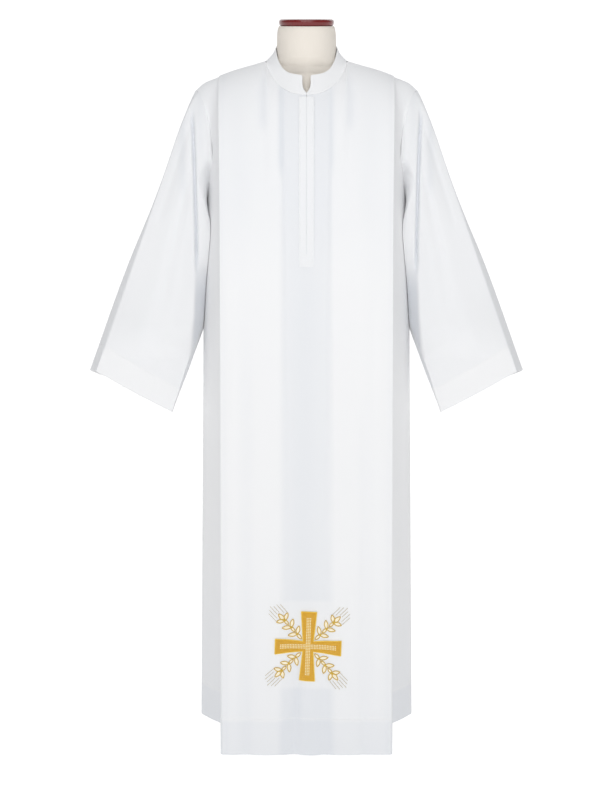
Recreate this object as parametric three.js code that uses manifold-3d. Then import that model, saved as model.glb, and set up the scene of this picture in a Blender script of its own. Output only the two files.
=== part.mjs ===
// Alb robe on a limbless dress form. Millimetres, +Z up, the front faces -Y.
// The origin is the middle of the stand's flat underside.
// The cloth is cut in a front, a back, two sleeves and a stand collar, and each is a thin closed wall. A wall is
// worked out as rows of points on its outer face, from the hem to the shoulder, and then given its thickness inwards.
import * as THREE from "three";
import { mergeVertices } from "three/addons/utils/BufferGeometryUtils.js";
import Module from "manifold-3d";

const wasm = await Module();
wasm.setup();

// ---- driving dimensions ----
const CLOTH = 1.2; // thickness of the cloth
const SEAM_GAP = 0.3; // between two pieces that are sewn together
const HEM_Z = 30; // the robe's lower edge above the floor
const HEM_DEEP = 80; // depth of the turned-up hem
const HEM_CLOTH = 2.2; // cloth with its hem behind it
const CHEST_Z = 1250; // above this the cloth curves in to the shoulder
const SHOULDER_Y = 3; // where the shoulder seam runs

// Half sections of the robe's body at the hem and at the chest. pleat: half width between the pleat edges; face: how far
// the flat face stands from the middle; sunk: depth of the middle band; band: half width of that band; ease: width of
// the step at the band's edge; fold, tuck: radii of the pleat's outer and inner folds; under: depth of the pleat;
// turn: how far the inner fold turns, in degrees; lead, trail: reach of the curve that runs back to the side seam.
const FRONT = {
  side: -1,
  hem: { pleat: 195, face: 215, sunk: 5, band: 52, ease: 44, fold: 7, tuck: 14, under: 46, turn: 100, lead: 140, trail: 24 },
  chest: { pleat: 187, face: 140, sunk: 4, band: 50, ease: 5, fold: 1.5, tuck: 0.8, under: 40, turn: 172, lead: 26, trail: 50 },
};
const BACK = {
  side: 1,
  hem: { pleat: 176, face: 238, sunk: -4, band: 58, ease: 60, fold: 7, tuck: 14, under: 44, turn: 100, lead: 50, trail: 60 },
  chest: { pleat: 168, face: 134, sunk: -2, band: 50, ease: 50, fold: 1.5, tuck: 0.8, under: 36, turn: 172, lead: 26, trail: 48 },
};
const SIDE_SEAM = { hem: { x: 252, y: 20 }, chest: { x: 228, y: 0 } };
const SPREAD = 1.027; // how much wider the pleats stand at the shoulder seam than at the chest

// The shoulder seam from the neck point to the tip of the shoulder.
const SHOULDER = [
  { x: 88, z: 1566 },
  { x: 119, z: 1557 },
  { x: 158, z: 1546 },
  { x: 198, z: 1531 },
  { x: 224, z: 1519 },
  { x: 243, z: 1502 },
];
// The neckline and the collar's top edge, by the angle from the middle front.
const NECK = { halfWidth: 88, front: 95, back: 80, y: 3 };
const COLLAR_TOP = { halfWidth: 68, front: 74, back: 70, y: 3 };
const NECK_RISE = [
  { angle: 0, seam: 1498, top: 1537 },
  { angle: 30, seam: 1508, top: 1542 },
  { angle: 45, seam: 1523, top: 1549 },
  { angle: 60, seam: 1541, top: 1563 },
  { angle: 90, seam: 1566, top: 1592 },
  { angle: 135, seam: 1570, top: 1602 },
  { angle: 180, seam: 1571, top: 1604 },
];
const COLLAR_CLOTH = 2.2;
// Half width of the gap between the collar's ends, by the share of its height.
const NECK_LINES = [62, 76, 85, 88, 120, 152]; // where lines of the cloth meet the neckline and the shoulder seam
const NOTCH = [
  { up: 0, gap: 0.5 },
  { up: 0.2, gap: 3.2 },
  { up: 0.45, gap: 7.4 },
  { up: 0.75, gap: 9.6 },
  { up: 1, gap: 9.2 },
];
const ARMHOLE = { low: { x: 228, z: CHEST_Z }, tip: { x: 243, z: 1502 }, scoop: 26, reach: 60 };

// The four corners of a sleeve's section from the armhole (0) to the cuff (1): the front crease, the back crease
// and the two edges under the arm.
const SLEEVE_CORNERS = {
  outerFront: [
    { along: 0, x: 241, y: -22, z: 1490 },
    { along: 0.07, x: 260, y: -29, z: 1462 },
    { along: 0.15, x: 276, y: -33, z: 1425 },
    { along: 0.3, x: 314, y: -34, z: 1320 },
    { along: 1, x: 475, y: -32, z: 879 },
  ],
  outerBack: [
    { along: 0, x: 241, y: 26, z: 1490 },
    { along: 0.07, x: 260, y: 27, z: 1458 },
    { along: 0.15, x: 275, y: 27, z: 1421 },
    { along: 0.3, x: 313, y: 29, z: 1314 },
    { along: 0.6, x: 400, y: 34, z: 1123 },
    { along: 1, x: 498, y: 38, z: 867 },
  ],
  innerBack: [
    { along: 0, x: 226, y: 18, z: 1256 },
    { along: 0.2, x: 232, y: 44, z: 1190 },
    { along: 0.45, x: 234, y: 49, z: 1090 },
    { along: 0.64, x: 238, y: 46, z: 985 },
    { along: 0.78, x: 257, y: 37, z: 908 },
    { along: 1, x: 310, y: 22, z: 779 },
  ],
  innerFront: [
    { along: 0, x: 226, y: -18, z: 1256 },
    { along: 0.2, x: 245, y: -53, z: 1200 },
    { along: 0.45, x: 247, y: -55, z: 1100 },
    { along: 0.64, x: 251, y: -50, z: 995 },
    { along: 0.78, x: 263, y: -38, z: 912 },
    { along: 1, x: 307, y: -20, z: 782 },
  ],
};
const SLEEVE_BULGE = { front: 20, back: 24, outer: 4, inner: 5 };
const CUFF_BULGE = { front: 9, back: 14, outer: 2, inner: 3 };
const SLEEVE_HEM = 0.91; // where the cuff's hem starts, along the sleeve
const SLEEVE_FOLD = { deep: 10, wide: 0.09, from: 0.6, to: 0.16 }; // the trough down the front of a sleeve

const PLACKET = { halfWidth: 16.3, low: 1133, stand: 0.4, thick: 0.7 };
const SLIT = { halfWidth: 0.4, low: 1196 };
const ZIP = { halfWidth: 13, thick: 0.8, behind: 0.7, low: 1140, high: 1492 };
const CROSS = { x: 3.4, z: 283, half: 74, tall: 79.7, waist: 11, flare: 6.6, tilt: 1.8, stand: 1.2, thick: 0.9 };

// The dress form's sections from the hip to the top of the neck: half width, half depth, how far the middle lies
// back, and how full the section is (2 is an ellipse, less is nearer a lozenge).
const FORM = [
  { z: 822, x: 160, y: 112, middle: 6, full: 2 },
  { z: 834, x: 168, y: 119, middle: 6, full: 2 },
  { z: 930, x: 178, y: 126, middle: 8, full: 2 },
  { z: 1090, x: 158, y: 104, middle: 2, full: 2 },
  { z: 1230, x: 172, y: 114, middle: -2, full: 2 },
  { z: 1340, x: 185, y: 112, middle: -4, full: 2 },
  { z: 1430, x: 196, y: 94, middle: 0, full: 2 },
  { z: 1480, x: 200, y: 80, middle: 2, full: 1.8 },
  { z: 1510, x: 196, y: 70, middle: 3, full: 1.5 },
  { z: 1528, x: 172, y: 64, middle: 3, full: 1.3 },
  { z: 1543, x: 136, y: 57, middle: 3, full: 1.25 },
  { z: 1555, x: 94, y: 57, middle: 3, full: 1.35 },
  { z: 1565, x: 72, y: 60, middle: 3, full: 1.7 },
  { z: 1577, x: 64.5, y: 63.5, middle: 3, full: 2 },
  { z: 1600, x: 64.5, y: 64, middle: 3, full: 2 },
  { z: 1640, x: 59.5, y: 60, middle: 3, full: 2 },
];
const CAP = { radius: 60, y: 3, thick: 15, round: 4, low: 1640 };
const POLE = { radius: 16, low: 34, high: 822 };
const BASE = { radius: 140, rim: 9, boss: 34, bossHigh: 34 };

// ---- small helpers ----
const mix = (a, b, t) => a + (b - a) * t;
const ease = (t) => t * t * (3 - 2 * t);
const degrees = (a) => (a * Math.PI) / 180;
const steps = (n) => Array.from({ length: n + 1 }, (_, i) => i / n);

// Value of a column of a table at a place, on a smooth curve through its rows that never overshoots them.
function read(rows, by, column, at) {
  let i = 1;
  while (i < rows.length - 1 && rows[i][by] < at) i++;
  const slope = (j) => (rows[j][column] - rows[j - 1][column]) / (rows[j][by] - rows[j - 1][by]);
  const bend = (j) => {
    if (j < 1 || j > rows.length - 2) return slope(Math.min(Math.max(j, 1), rows.length - 1));
    const before = slope(j);
    const after = slope(j + 1);
    return before * after <= 0 ? 0 : (2 * before * after) / (before + after);
  };
  const span = rows[i][by] - rows[i - 1][by];
  const t = Math.min(Math.max((at - rows[i - 1][by]) / span, 0), 1);
  const a = rows[i - 1][column];
  const b = rows[i][column];
  return (
    a * (1 + 2 * t) * (1 - t) ** 2 +
    b * t * t * (3 - 2 * t) +
    span * (bend(i - 1) * t * (1 - t) ** 2 + bend(i) * t * t * (t - 1))
  );
}

const between = (a, b, t) => Object.fromEntries(Object.keys(a).map((k) => [k, mix(a[k], b[k], t)]));

// A closed wall from rows of points on its outer face. Seen from outside, columns run to the right and rows run up.
// square(r, c) tells whether the wall's edge there is square to y, where two pieces are sewn together.
function wall(rows, thicknessOf, closed = false, square = () => false) {
  const high = rows.length;
  const wide = rows[0].length;
  const column = (c) => (closed ? (c + wide) % wide : Math.min(Math.max(c, 0), wide - 1));
  const row = (r) => Math.min(Math.max(r, 0), high - 1);
  const outer = rows.flat();
  const inner = outer.map((point, i) => {
    const r = Math.floor(i / wide);
    const c = i % wide;
    const across = rows[r][column(c + 1)].clone().sub(rows[r][column(c - 1)]);
    const up = rows[row(r + 1)][c].clone().sub(rows[row(r - 1)][c]);
    const normal = across.cross(up);
    if (square(r, c)) normal.y = 0;
    normal.normalize();
    return point.clone().addScaledVector(normal, -thicknessOf(r / (high - 1), r));
  });
  const faces = [];
  const quad = (a, b, c, d) => faces.push(a, b, c, a, c, d);
  const behind = outer.length;
  const last = closed ? wide : wide - 1;
  for (let r = 0; r < high - 1; r++)
    for (let c = 0; c < last; c++) {
      const [a, b] = [r * wide + c, r * wide + column(c + 1)];
      quad(a, b, b + wide, a + wide);
      quad(behind + a, behind + a + wide, behind + b + wide, behind + b);
    }
  for (let c = 0; c < last; c++) {
    const [a, b] = [c, column(c + 1)];
    const top = (high - 1) * wide;
    quad(b, a, behind + a, behind + b);
    quad(top + a, top + b, behind + top + b, behind + top + a);
  }
  if (!closed)
    for (let r = 0; r < high - 1; r++) {
      const [a, b] = [r * wide, r * wide + wide - 1];
      quad(a, a + wide, behind + a + wide, behind + a);
      quad(b + wide, b, behind + b, behind + b + wide);
    }
  const geometry = new THREE.BufferGeometry();
  geometry.setAttribute(
    "position",
    new THREE.Float32BufferAttribute([...outer, ...inner].flatMap((p) => p.toArray()), 3),
  );
  geometry.setIndex(faces);
  return geometry;
}

// The same wall on the other side of the middle plane.
function mirrored(geometry) {
  const points = geometry.attributes.position;
  for (let i = 0; i < points.count; i++) points.setX(i, -points.getX(i));
  const faces = geometry.index.array;
  for (let i = 0; i < faces.length; i += 3) [faces[i + 1], faces[i + 2]] = [faces[i + 2], faces[i + 1]];
  return geometry;
}

function solidOf(geometry) {
  const bare = geometry.clone();
  bare.deleteAttribute("normal");
  bare.deleteAttribute("uv");
  const merged = mergeVertices(bare, 1e-4);
  return new wasm.Manifold(
    new wasm.Mesh({
      numProp: 3,
      vertProperties: merged.attributes.position.array,
      triVerts: new Uint32Array(merged.index.array),
    }),
  );
}

function geometryOf(solid) {
  const mesh = solid.getMesh();
  const geometry = new THREE.BufferGeometry();
  geometry.setAttribute("position", new THREE.BufferAttribute(new Float32Array(mesh.vertProperties), 3));
  geometry.setIndex(new THREE.BufferAttribute(new Uint32Array(mesh.triVerts), 1));
  return geometry;
}

// ---- the robe's body ----
// Half a horizontal section of the front or back, from its middle to the side seam, with the pleat folded under.
// Each place has x, y, how deep it lies under the flat face, and its share of the way from the pleat to the seam.
function halfSection(piece, level, seam) {
  const s = between(piece.hem, piece.chest, level);
  const out = piece.side;
  const places = [];
  const put = (x, deep, share = 0) => places.push({ x, y: out * (s.face - deep), deep, share });
  const bandEdge = s.band - s.ease / 2;
  for (const t of [0, 0.36, 0.7]) put(bandEdge * t, s.sunk);
  for (const t of [0, 0.5, 1]) put(bandEdge + s.ease * t, s.sunk * (1 - ease(t)));
  const flat = s.pleat - s.fold;
  const chest = piece.chest;
  const chestStart = chest.band + chest.ease / 2;
  const shareOf = (x) => (x / SPREAD - chestStart) / (chest.pleat - chest.fold - chestStart);
  for (const x of NECK_LINES.filter((line) => shareOf(line) > 0.04)) put(mix(s.band + s.ease / 2, flat, shareOf(x)), 0);
  put(flat, 0);
  for (const turn of [60, 120, 180])
    put(flat + s.fold * Math.sin(degrees(turn)), s.fold * (1 - Math.cos(degrees(turn))));
  const inside = s.pleat - s.under;
  put(mix(flat, inside, 0.5), 2 * s.fold);
  for (const t of [0, 1 / 3, 2 / 3, 1]) {
    const a = degrees(s.turn * t);
    put(inside - s.tuck * Math.sin(a), 2 * s.fold + s.tuck * (1 - Math.cos(a)));
  }
  const from = places[places.length - 1];
  const heading = { x: -Math.cos(degrees(s.turn)), y: -out * Math.sin(degrees(s.turn)) };
  const end = { x: seam.x, y: seam.y + out * SEAM_GAP * 0.7 };
  const bezier = new THREE.CubicBezierCurve(
    new THREE.Vector2(from.x, from.y),
    new THREE.Vector2(from.x + s.lead * heading.x, from.y + s.lead * heading.y),
    new THREE.Vector2(end.x - s.trail * 0.2, end.y + out * s.trail),
    new THREE.Vector2(end.x, end.y),
  );
  for (const t of [0.22, 0.44, 0.64, 0.83, 1]) {
    const p = bezier.getPoint(t);
    places.push({ x: p.x, y: p.y, deep: from.deep * (1 - t), share: t });
  }
  return places;
}

// A point of the neckline or of the collar's top edge, at an angle from the middle front.
function neckPoint(ring, angle, height) {
  const a = degrees(angle);
  const reach = Math.cos(a) > 0 ? ring.front : ring.back;
  return new THREE.Vector3(ring.halfWidth * Math.sin(a), ring.y - reach * Math.cos(a), height);
}

// The armhole's edge, from under the arm (0) to the tip of the shoulder (1), on the front or the back.
function armholePoint(side, up) {
  const a = Math.PI * up;
  return new THREE.Vector3(
    mix(ARMHOLE.low.x, ARMHOLE.tip.x, up) - ARMHOLE.scoop * Math.sin(a),
    mix(SIDE_SEAM.chest.y, SHOULDER_Y, up) + side * (ARMHOLE.reach * Math.sin(a) + SEAM_GAP * 0.7),
    mix(ARMHOLE.low.z, ARMHOLE.tip.z, (1 - Math.cos(a)) / 2),
  );
}

// Where a line of the cloth ends on the shoulder seam or on the neckline, and how steeply it gets there.
function topOf(piece, x, deep) {
  const out = piece.side;
  if (x >= NECK.halfWidth)
    return {
      y: SHOULDER_Y + out * SEAM_GAP * 0.7,
      z: read(SHOULDER, "x", "z", x) - deep,
      steep: 90,
    };
  const angle = (Math.asin(x / NECK.halfWidth) * 180) / Math.PI;
  const around = out < 0 ? angle : 180 - angle;
  const p = neckPoint(NECK, around, read(NECK_RISE, "angle", "seam", around));
  return { y: p.y - out * deep * 0.2, z: p.z - SEAM_GAP - deep * 0.2, steep: mix(58, 90, (x / NECK.halfWidth) ** 3) };
}

// Rows of points from the hem to the shoulder for the right half of the front or the back.
function halfRows(piece, levels, rises) {
  const heights = levels.map((z) => {
    const level = (z - HEM_Z) / (CHEST_Z - HEM_Z);
    const seam = between(SIDE_SEAM.hem, SIDE_SEAM.chest, level);
    const dip = 1 - Math.min((z - HEM_Z) / HEM_DEEP, 1);
    return halfSection(piece, level, seam).map((p) => {
      const drop = piece.side < 0 ? 3 * dip * (1 - ease(Math.min(p.x / 80, 1))) : 0;
      return new THREE.Vector3(p.x, p.y, z - drop);
    });
  });
  const chest = halfSection(piece, 1, SIDE_SEAM.chest);
  const tuckX = chest.find((p) => p.share > 0).x;
  const domes = rises.map((t) =>
    chest.map((p) => {
      const endX = p.share > 0 ? mix(p.x, mix(tuckX, ARMHOLE.tip.x, p.share), p.share) : p.x * SPREAD;
      const x = mix(p.x, endX, ease(t));
      const deep = Math.max(p.deep, 0);
      const top = topOf(piece, Math.min(endX, ARMHOLE.tip.x), deep);
      const steep = degrees(top.steep);
      const y = mix(p.y, top.y, (1 - Math.cos(t * steep)) / (1 - Math.cos(steep)));
      const z = mix(CHEST_Z, top.z, Math.sin(t * steep) / Math.sin(steep));
      const point = new THREE.Vector3(x, y, z);
      if (p.share > 0) {
        const edge = armholePoint(piece.side, t);
        const plain = new THREE.Vector3(
          mix(ARMHOLE.low.x, ARMHOLE.tip.x, ease(t)),
          mix(SIDE_SEAM.chest.y, SHOULDER_Y, 1 - Math.cos((t * Math.PI) / 2)),
          mix(CHEST_Z, ARMHOLE.tip.z, Math.sin((t * Math.PI) / 2)),
        );
        point.addScaledVector(edge.sub(plain), p.share ** 2);
      }
      return point;
    }),
  );
  return [...heights, ...domes];
}

// A whole row from its right half: the left half mirrored, then the right half.
function bothHalves(half, side) {
  const mirrored = half.slice(1).reverse().map((p) => new THREE.Vector3(-p.x, p.y, p.z));
  const row = [...mirrored, ...half];
  return side < 0 ? row : row.reverse();
}

const BODY_LEVELS = [HEM_Z, HEM_Z + HEM_DEEP, HEM_Z + HEM_DEEP + 4, 420, 830, CHEST_Z];
const BODY_RISES = [0.16, 0.32, 0.48, 0.63, 0.77, 0.89, 1];
const bodyThickness = (_, r) => (r < 2 ? HEM_CLOTH : CLOTH);

function bodyPiece(piece) {
  const rows = halfRows(piece, BODY_LEVELS, BODY_RISES).map((half) => bothHalves(half, piece.side));
  const last = rows[0].length - 1;
  const square = (r, c) =>
    r === rows.length - 1 ? Math.abs(rows[r][c].x) > NECK.halfWidth - 1 : r < BODY_LEVELS.length && (c === 0 || c === last);
  return wall(rows, bodyThickness, false, square);
}

// The middle front's outer face: its distance from the middle plane at a height.
function middleFrontY(z) {
  if (z <= CHEST_Z) {
    const s = between(FRONT.hem, FRONT.chest, (z - HEM_Z) / (CHEST_Z - HEM_Z));
    return -(s.face - s.sunk);
  }
  const top = topOf(FRONT, 0, FRONT.chest.sunk);
  const steep = degrees(top.steep);
  const turn = Math.asin(((z - CHEST_Z) / (top.z - CHEST_Z)) * Math.sin(steep));
  return mix(-(FRONT.chest.face - FRONT.chest.sunk), top.y, (1 - Math.cos(turn)) / (1 - Math.cos(steep)));
}

function slitBox(high) {
  const box = new THREE.BoxGeometry(2 * SLIT.halfWidth, 120, high - SLIT.low);
  box.translate(0, -120, (high + SLIT.low) / 2);
  return solidOf(box);
}

// ---- sleeves ----
function sleeveCorner(name, along) {
  const rows = SLEEVE_CORNERS[name];
  return new THREE.Vector3(...["x", "y", "z"].map((k) => read(rows, "along", k, along)));
}

// Points of a section's side between two corners, bowed outwards.
function bowed(a, b, out, bow, shares) {
  return shares.map((t) => a.clone().lerp(b, t).addScaledVector(out, bow * 4 * t * (1 - t)));
}

const SIDE_SHARES = {
  front: [0, 0.1, 0.2, 0.32, 0.46, 0.6, 0.75, 0.9],
  outer: [0, 0.5],
  back: [0, 0.18, 0.36, 0.54, 0.72, 0.88],
  inner: [0, 0.33, 0.67],
};

// The armhole as a closed loop with the same count of points as a section of the sleeve.
function armholeLoop() {
  const low = 0.06;
  const high = 0.93;
  const front = SIDE_SHARES.front.map((t) => armholePoint(-1, mix(low, high, t)));
  const back = SIDE_SHARES.back.map((t) => armholePoint(1, mix(high, low, t)));
  const over = [armholePoint(-1, high), armholePoint(0, 1)];
  const under = [armholePoint(1, low), armholePoint(0, 0), armholePoint(0, 0)];
  under[1].y = 6;
  under[2].y = -6;
  return [...front, ...over, ...back, ...under];
}

function sleeveSection(along) {
  const [of, ob, ib, inf] = ["outerFront", "outerBack", "innerBack", "innerFront"].map((n) => sleeveCorner(n, along));
  const bow = between(SLEEVE_BULGE, CUFF_BULGE, along);
  const forward = new THREE.Vector3(0, -1, 0);
  const backward = new THREE.Vector3(0, 1, 0);
  const outward = of.clone().sub(inf).setY(0).normalize();
  const foldAt = mix(SLEEVE_FOLD.to, SLEEVE_FOLD.from, 1 - along / 0.72);
  const deep = SLEEVE_FOLD.deep * ease(Math.min(Math.max((0.85 - along) / 0.4, 0), 1)) * ease(Math.min(along / 0.16, 1));
  const front = bowed(inf, of, forward, bow.front, SIDE_SHARES.front).map((p, i) => {
    const off = (SIDE_SHARES.front[i] - foldAt) / SLEEVE_FOLD.wide;
    return p.addScaledVector(backward, deep * Math.exp(-off * off));
  });
  return [
    ...front,
    ...bowed(of, ob, outward, bow.outer, SIDE_SHARES.outer),
    ...bowed(ob, ib, backward, bow.back, SIDE_SHARES.back),
    ...bowed(ib, inf, outward.clone().negate(), bow.inner, SIDE_SHARES.inner),
  ];
}

const SLEEVE_ROWS = [1, SLEEVE_HEM, SLEEVE_HEM - 0.008, 0.7, 0.52, 0.36, 0.22, 0.12, 0.05, 0];

function sleeve(sign) {
  const loop = armholeLoop();
  const rows = SLEEVE_ROWS.map((along) => {
    const blend = ease(Math.min(along / 0.22, 1));
    return sleeveSection(along).map((p, i) => {
      const start = loop[i].clone();
      start.x += 1.4 + 40 * along;
      return start.lerp(p, blend);
    });
  });
  const geometry = wall(rows, (_, r) => (r < 2 ? HEM_CLOTH : CLOTH), true);
  return sign > 0 ? geometry : mirrored(geometry);
}

// ---- collar, zip and embroidery ----
function collar() {
  const meets = (piece) => [...new Set(halfSection(piece, 1, SIDE_SEAM.chest).map((p) => p.x * SPREAD))];
  const angles = (piece) =>
    meets(piece)
      .filter((x) => x < NECK.halfWidth - 0.1)
      .map((x) => (Math.asin(x / NECK.halfWidth) * 180) / Math.PI);
  const half = [...angles(FRONT), 90, ...angles(BACK).reverse().map((a) => 180 - a)];
  const around = [...half.slice(1), ...half.slice(1, -1).reverse().map((a) => 360 - a)];
  const rows = steps(5).map((up) => {
    const gap = read(NOTCH, "up", "gap", up);
    const start = (Math.asin(gap / mix(NECK.halfWidth, COLLAR_TOP.halfWidth, up)) * 180) / Math.PI;
    return [start, ...around, 360 - start].map((angle) => {
      const folded = angle > 180 ? 360 - angle : angle;
      const low = neckPoint(NECK, angle, read(NECK_RISE, "angle", "seam", folded) + 2 * SEAM_GAP);
      return low.lerp(neckPoint(COLLAR_TOP, angle, read(NECK_RISE, "angle", "top", folded)), up);
    });
  });
  return wall(rows, () => COLLAR_CLOTH);
}

// A strip along the middle front, a distance off the cloth's outer face (or behind it, if negative).
function middleStrip(halfWidth, low, high, off, thick) {
  const levels = halfRows(FRONT, BODY_LEVELS, BODY_RISES).map((row) => row[0].z);
  const heights = [low, ...levels.filter((z) => z > low + 1 && z < high - 1), high];
  const profile = heights.map((z) => new THREE.Vector3(0, middleFrontY(z), z));
  const rows = profile.map((p, i) => {
    const up = profile[Math.min(i + 1, profile.length - 1)].clone().sub(profile[Math.max(i - 1, 0)]).normalize();
    const out = new THREE.Vector3(0, -up.z, up.y);
    return [-1, 0, 1].map((k) => new THREE.Vector3(k * halfWidth, 0, 0).add(p).addScaledVector(out, off));
  });
  return wall(rows, () => thick);
}

function placket() {
  const strip = middleStrip(PLACKET.halfWidth, PLACKET.low, 1493, PLACKET.stand + PLACKET.thick, PLACKET.thick);
  return geometryOf(solidOf(strip).subtract(slitBox(1600)));
}

function zipTape() {
  return middleStrip(ZIP.halfWidth, ZIP.low, ZIP.high, -(CLOTH + ZIP.behind), ZIP.thick);
}

// One bar of the embroidered cross: a flared strip laid on the front.
function crossBar(upright) {
  const half = upright ? CROSS.tall : CROSS.half;
  const shares = steps(8).map((t) => 2 * t - 1);
  const tilt = degrees(CROSS.tilt);
  const place = (along, across) => {
    const [u, v] = upright ? [across, along] : [along, across];
    const x = CROSS.x + u * Math.cos(tilt) + v * Math.sin(tilt);
    const z = CROSS.z - u * Math.sin(tilt) + v * Math.cos(tilt);
    return new THREE.Vector3(x, frontFaceY(x, z) - CROSS.stand - CROSS.thick, z);
  };
  const lines = [-1, 0, 1].map((k) =>
    shares.map((t) => place(t * half, k * (CROSS.waist + CROSS.flare * Math.abs(t)) * (upright ? -1 : 1))),
  );
  return wall(lines, () => CROSS.thick);
}

// The front's outer face at a place below the chest.
function frontFaceY(x, z) {
  const level = (z - HEM_Z) / (CHEST_Z - HEM_Z);
  const places = halfSection(FRONT, level, between(SIDE_SEAM.hem, SIDE_SEAM.chest, level));
  const i = places.findIndex((p) => p.x >= Math.abs(x));
  if (i < 1) return places[0].y;
  const [a, b] = [places[i - 1], places[i]];
  return mix(a.y, b.y, (Math.abs(x) - a.x) / (b.x - a.x));
}

function cross() {
  return geometryOf(solidOf(crossBar(true)).add(solidOf(crossBar(false))));
}

// ---- dress form and stand ----
function formBody() {
  const around = 28;
  const rounded = (value, full) => Math.sign(value) * Math.abs(value) ** (2 / full);
  const rings = FORM.map((f) =>
    Array.from({ length: around }, (_, k) => {
      const a = (2 * Math.PI * k) / around;
      return new THREE.Vector3(f.x * rounded(Math.cos(a), f.full), f.middle + f.y * rounded(Math.sin(a), f.full), f.z);
    }),
  );
  const points = rings.flat();
  const faces = [];
  for (let r = 0; r < rings.length - 1; r++)
    for (let k = 0; k < around; k++) {
      const [a, b] = [r * around + k, r * around + ((k + 1) % around)];
      faces.push(a, b, b + around, a, b + around, a + around);
    }
  const top = (rings.length - 1) * around;
  for (let k = 1; k < around - 1; k++) faces.push(0, k + 1, k, top, top + k, top + k + 1);
  const geometry = new THREE.BufferGeometry();
  geometry.setAttribute("position", new THREE.Float32BufferAttribute(points.flatMap((p) => p.toArray()), 3));
  geometry.setIndex(faces);
  return geometry;
}

// A turned piece about an upright axis through (0, y).
function turned(profile, y, around) {
  const geometry = new THREE.LatheGeometry(profile.map(([r, z]) => new THREE.Vector2(r, z)), around);
  geometry.rotateX(Math.PI / 2);
  geometry.translate(0, y, 0);
  return geometry;
}

function formCap() {
  const { radius, thick, round, low } = CAP;
  const edge = steps(3).map((t) => degrees(90 * t));
  const profile = [
    [0, low + SEAM_GAP],
    [radius, low + SEAM_GAP],
    ...edge.map((a) => [radius - round * (1 - Math.cos(a)), low + thick - round * (1 - Math.sin(a))]),
    [0, low + thick],
  ];
  return turned(profile, CAP.y, 32);
}

function standPole() {
  const { radius, low, high } = POLE;
  return turned(
    [
      [0, low + SEAM_GAP],
      [radius, low + SEAM_GAP],
      [radius, high - SEAM_GAP],
      [0, high - SEAM_GAP],
    ],
    0,
    24,
  );
}

function standBase() {
  const { radius, rim, boss, bossHigh } = BASE;
  return turned(
    [
      [0, 0],
      [radius, 0],
      [radius, rim - 2],
      [radius - 2, rim],
      [boss + 20, rim + 4],
      [boss, rim + 12],
      [boss - 6, bossHigh],
      [0, bossHigh],
    ],
    0,
    40,
  );
}

// ---- assembly ----
const alb = new THREE.Group();
const white = { color: 0xf1f2f5, roughness: 0.75, metalness: 0 };
const linen = { color: 0xe9e0d2, roughness: 0.85, metalness: 0 };
const gold = { color: 0xd9a63c, roughness: 0.5, metalness: 0.1 };
const red = { color: 0x92281c, roughness: 0.25, metalness: 0 };
const steel = { color: 0x9a9da1, roughness: 0.3, metalness: 0.9 };
const iron = { color: 0x2b2c2f, roughness: 0.5, metalness: 0.3 };

function add(name, geometry, finish) {
  const mesh = new THREE.Mesh(geometry, new THREE.MeshStandardMaterial(finish));
  mesh.name = name;
  alb.add(mesh);
}

add("front", geometryOf(solidOf(bodyPiece(FRONT)).subtract(slitBox(1600))), white);
add("back", bodyPiece(BACK), white);
add("sleeve_left", sleeve(1), white);
add("sleeve_right", sleeve(-1), white);
add("collar", collar(), white);
add("zip_placket", placket(), white);
add("zip_tape", zipTape(), white);
add("cross_embroidery", cross(), gold);
add("form_body", formBody(), linen);
add("form_cap", formCap(), red);
add("stand_pole", standPole(), steel);
add("stand_base", standBase(), iron);

export default alb;
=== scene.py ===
"""Alb robe on a limbless dress form: the robe's cloth, seams, zip and embroidery, the form and its stand,
and the studio stage. Shapes are worked out in millimetres, with the front facing -Y and +Z up, and stored
in metres."""

import math

import bpy
import numpy as np
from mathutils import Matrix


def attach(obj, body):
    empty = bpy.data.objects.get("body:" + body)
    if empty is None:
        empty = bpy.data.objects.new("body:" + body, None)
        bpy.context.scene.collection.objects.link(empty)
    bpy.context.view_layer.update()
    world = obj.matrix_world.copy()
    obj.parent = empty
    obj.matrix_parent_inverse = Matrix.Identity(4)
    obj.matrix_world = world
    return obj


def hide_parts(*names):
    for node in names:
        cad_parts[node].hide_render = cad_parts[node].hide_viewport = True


bl_info = {
    "name": "Alb robe on a dress form",
    "version": (1, 0, 0),
    "blender": (4, 5, 0),
    "location": "3D View > Sidebar > Alb",
    "description": "Builds an alb robe on a dress form from its cut, its folds and its embroidery",
    "category": "Mesh",
}

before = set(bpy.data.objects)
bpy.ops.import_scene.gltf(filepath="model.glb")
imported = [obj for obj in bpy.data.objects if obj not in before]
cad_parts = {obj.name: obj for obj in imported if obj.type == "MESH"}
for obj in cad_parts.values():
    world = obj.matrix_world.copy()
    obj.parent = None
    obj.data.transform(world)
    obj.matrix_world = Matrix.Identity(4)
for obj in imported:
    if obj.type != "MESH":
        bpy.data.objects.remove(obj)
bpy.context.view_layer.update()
MM = 0.001

# ---- the robe's cut, in millimetres; only the sleeves' inner corners differ from the solid model ----
CLOTH = 1.2
HEM_CLOTH = 2.2
COLLAR_CLOTH = 2.2
SEAM_GAP = 0.08  # between two pieces that are sewn together
HEM_Z = 30.0
CHEST_Z = 1250.0
SHOULDER_Y = 3.0
SPREAD = 1.027  # how much wider the pleats stand at the shoulder seam than at the chest
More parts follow.
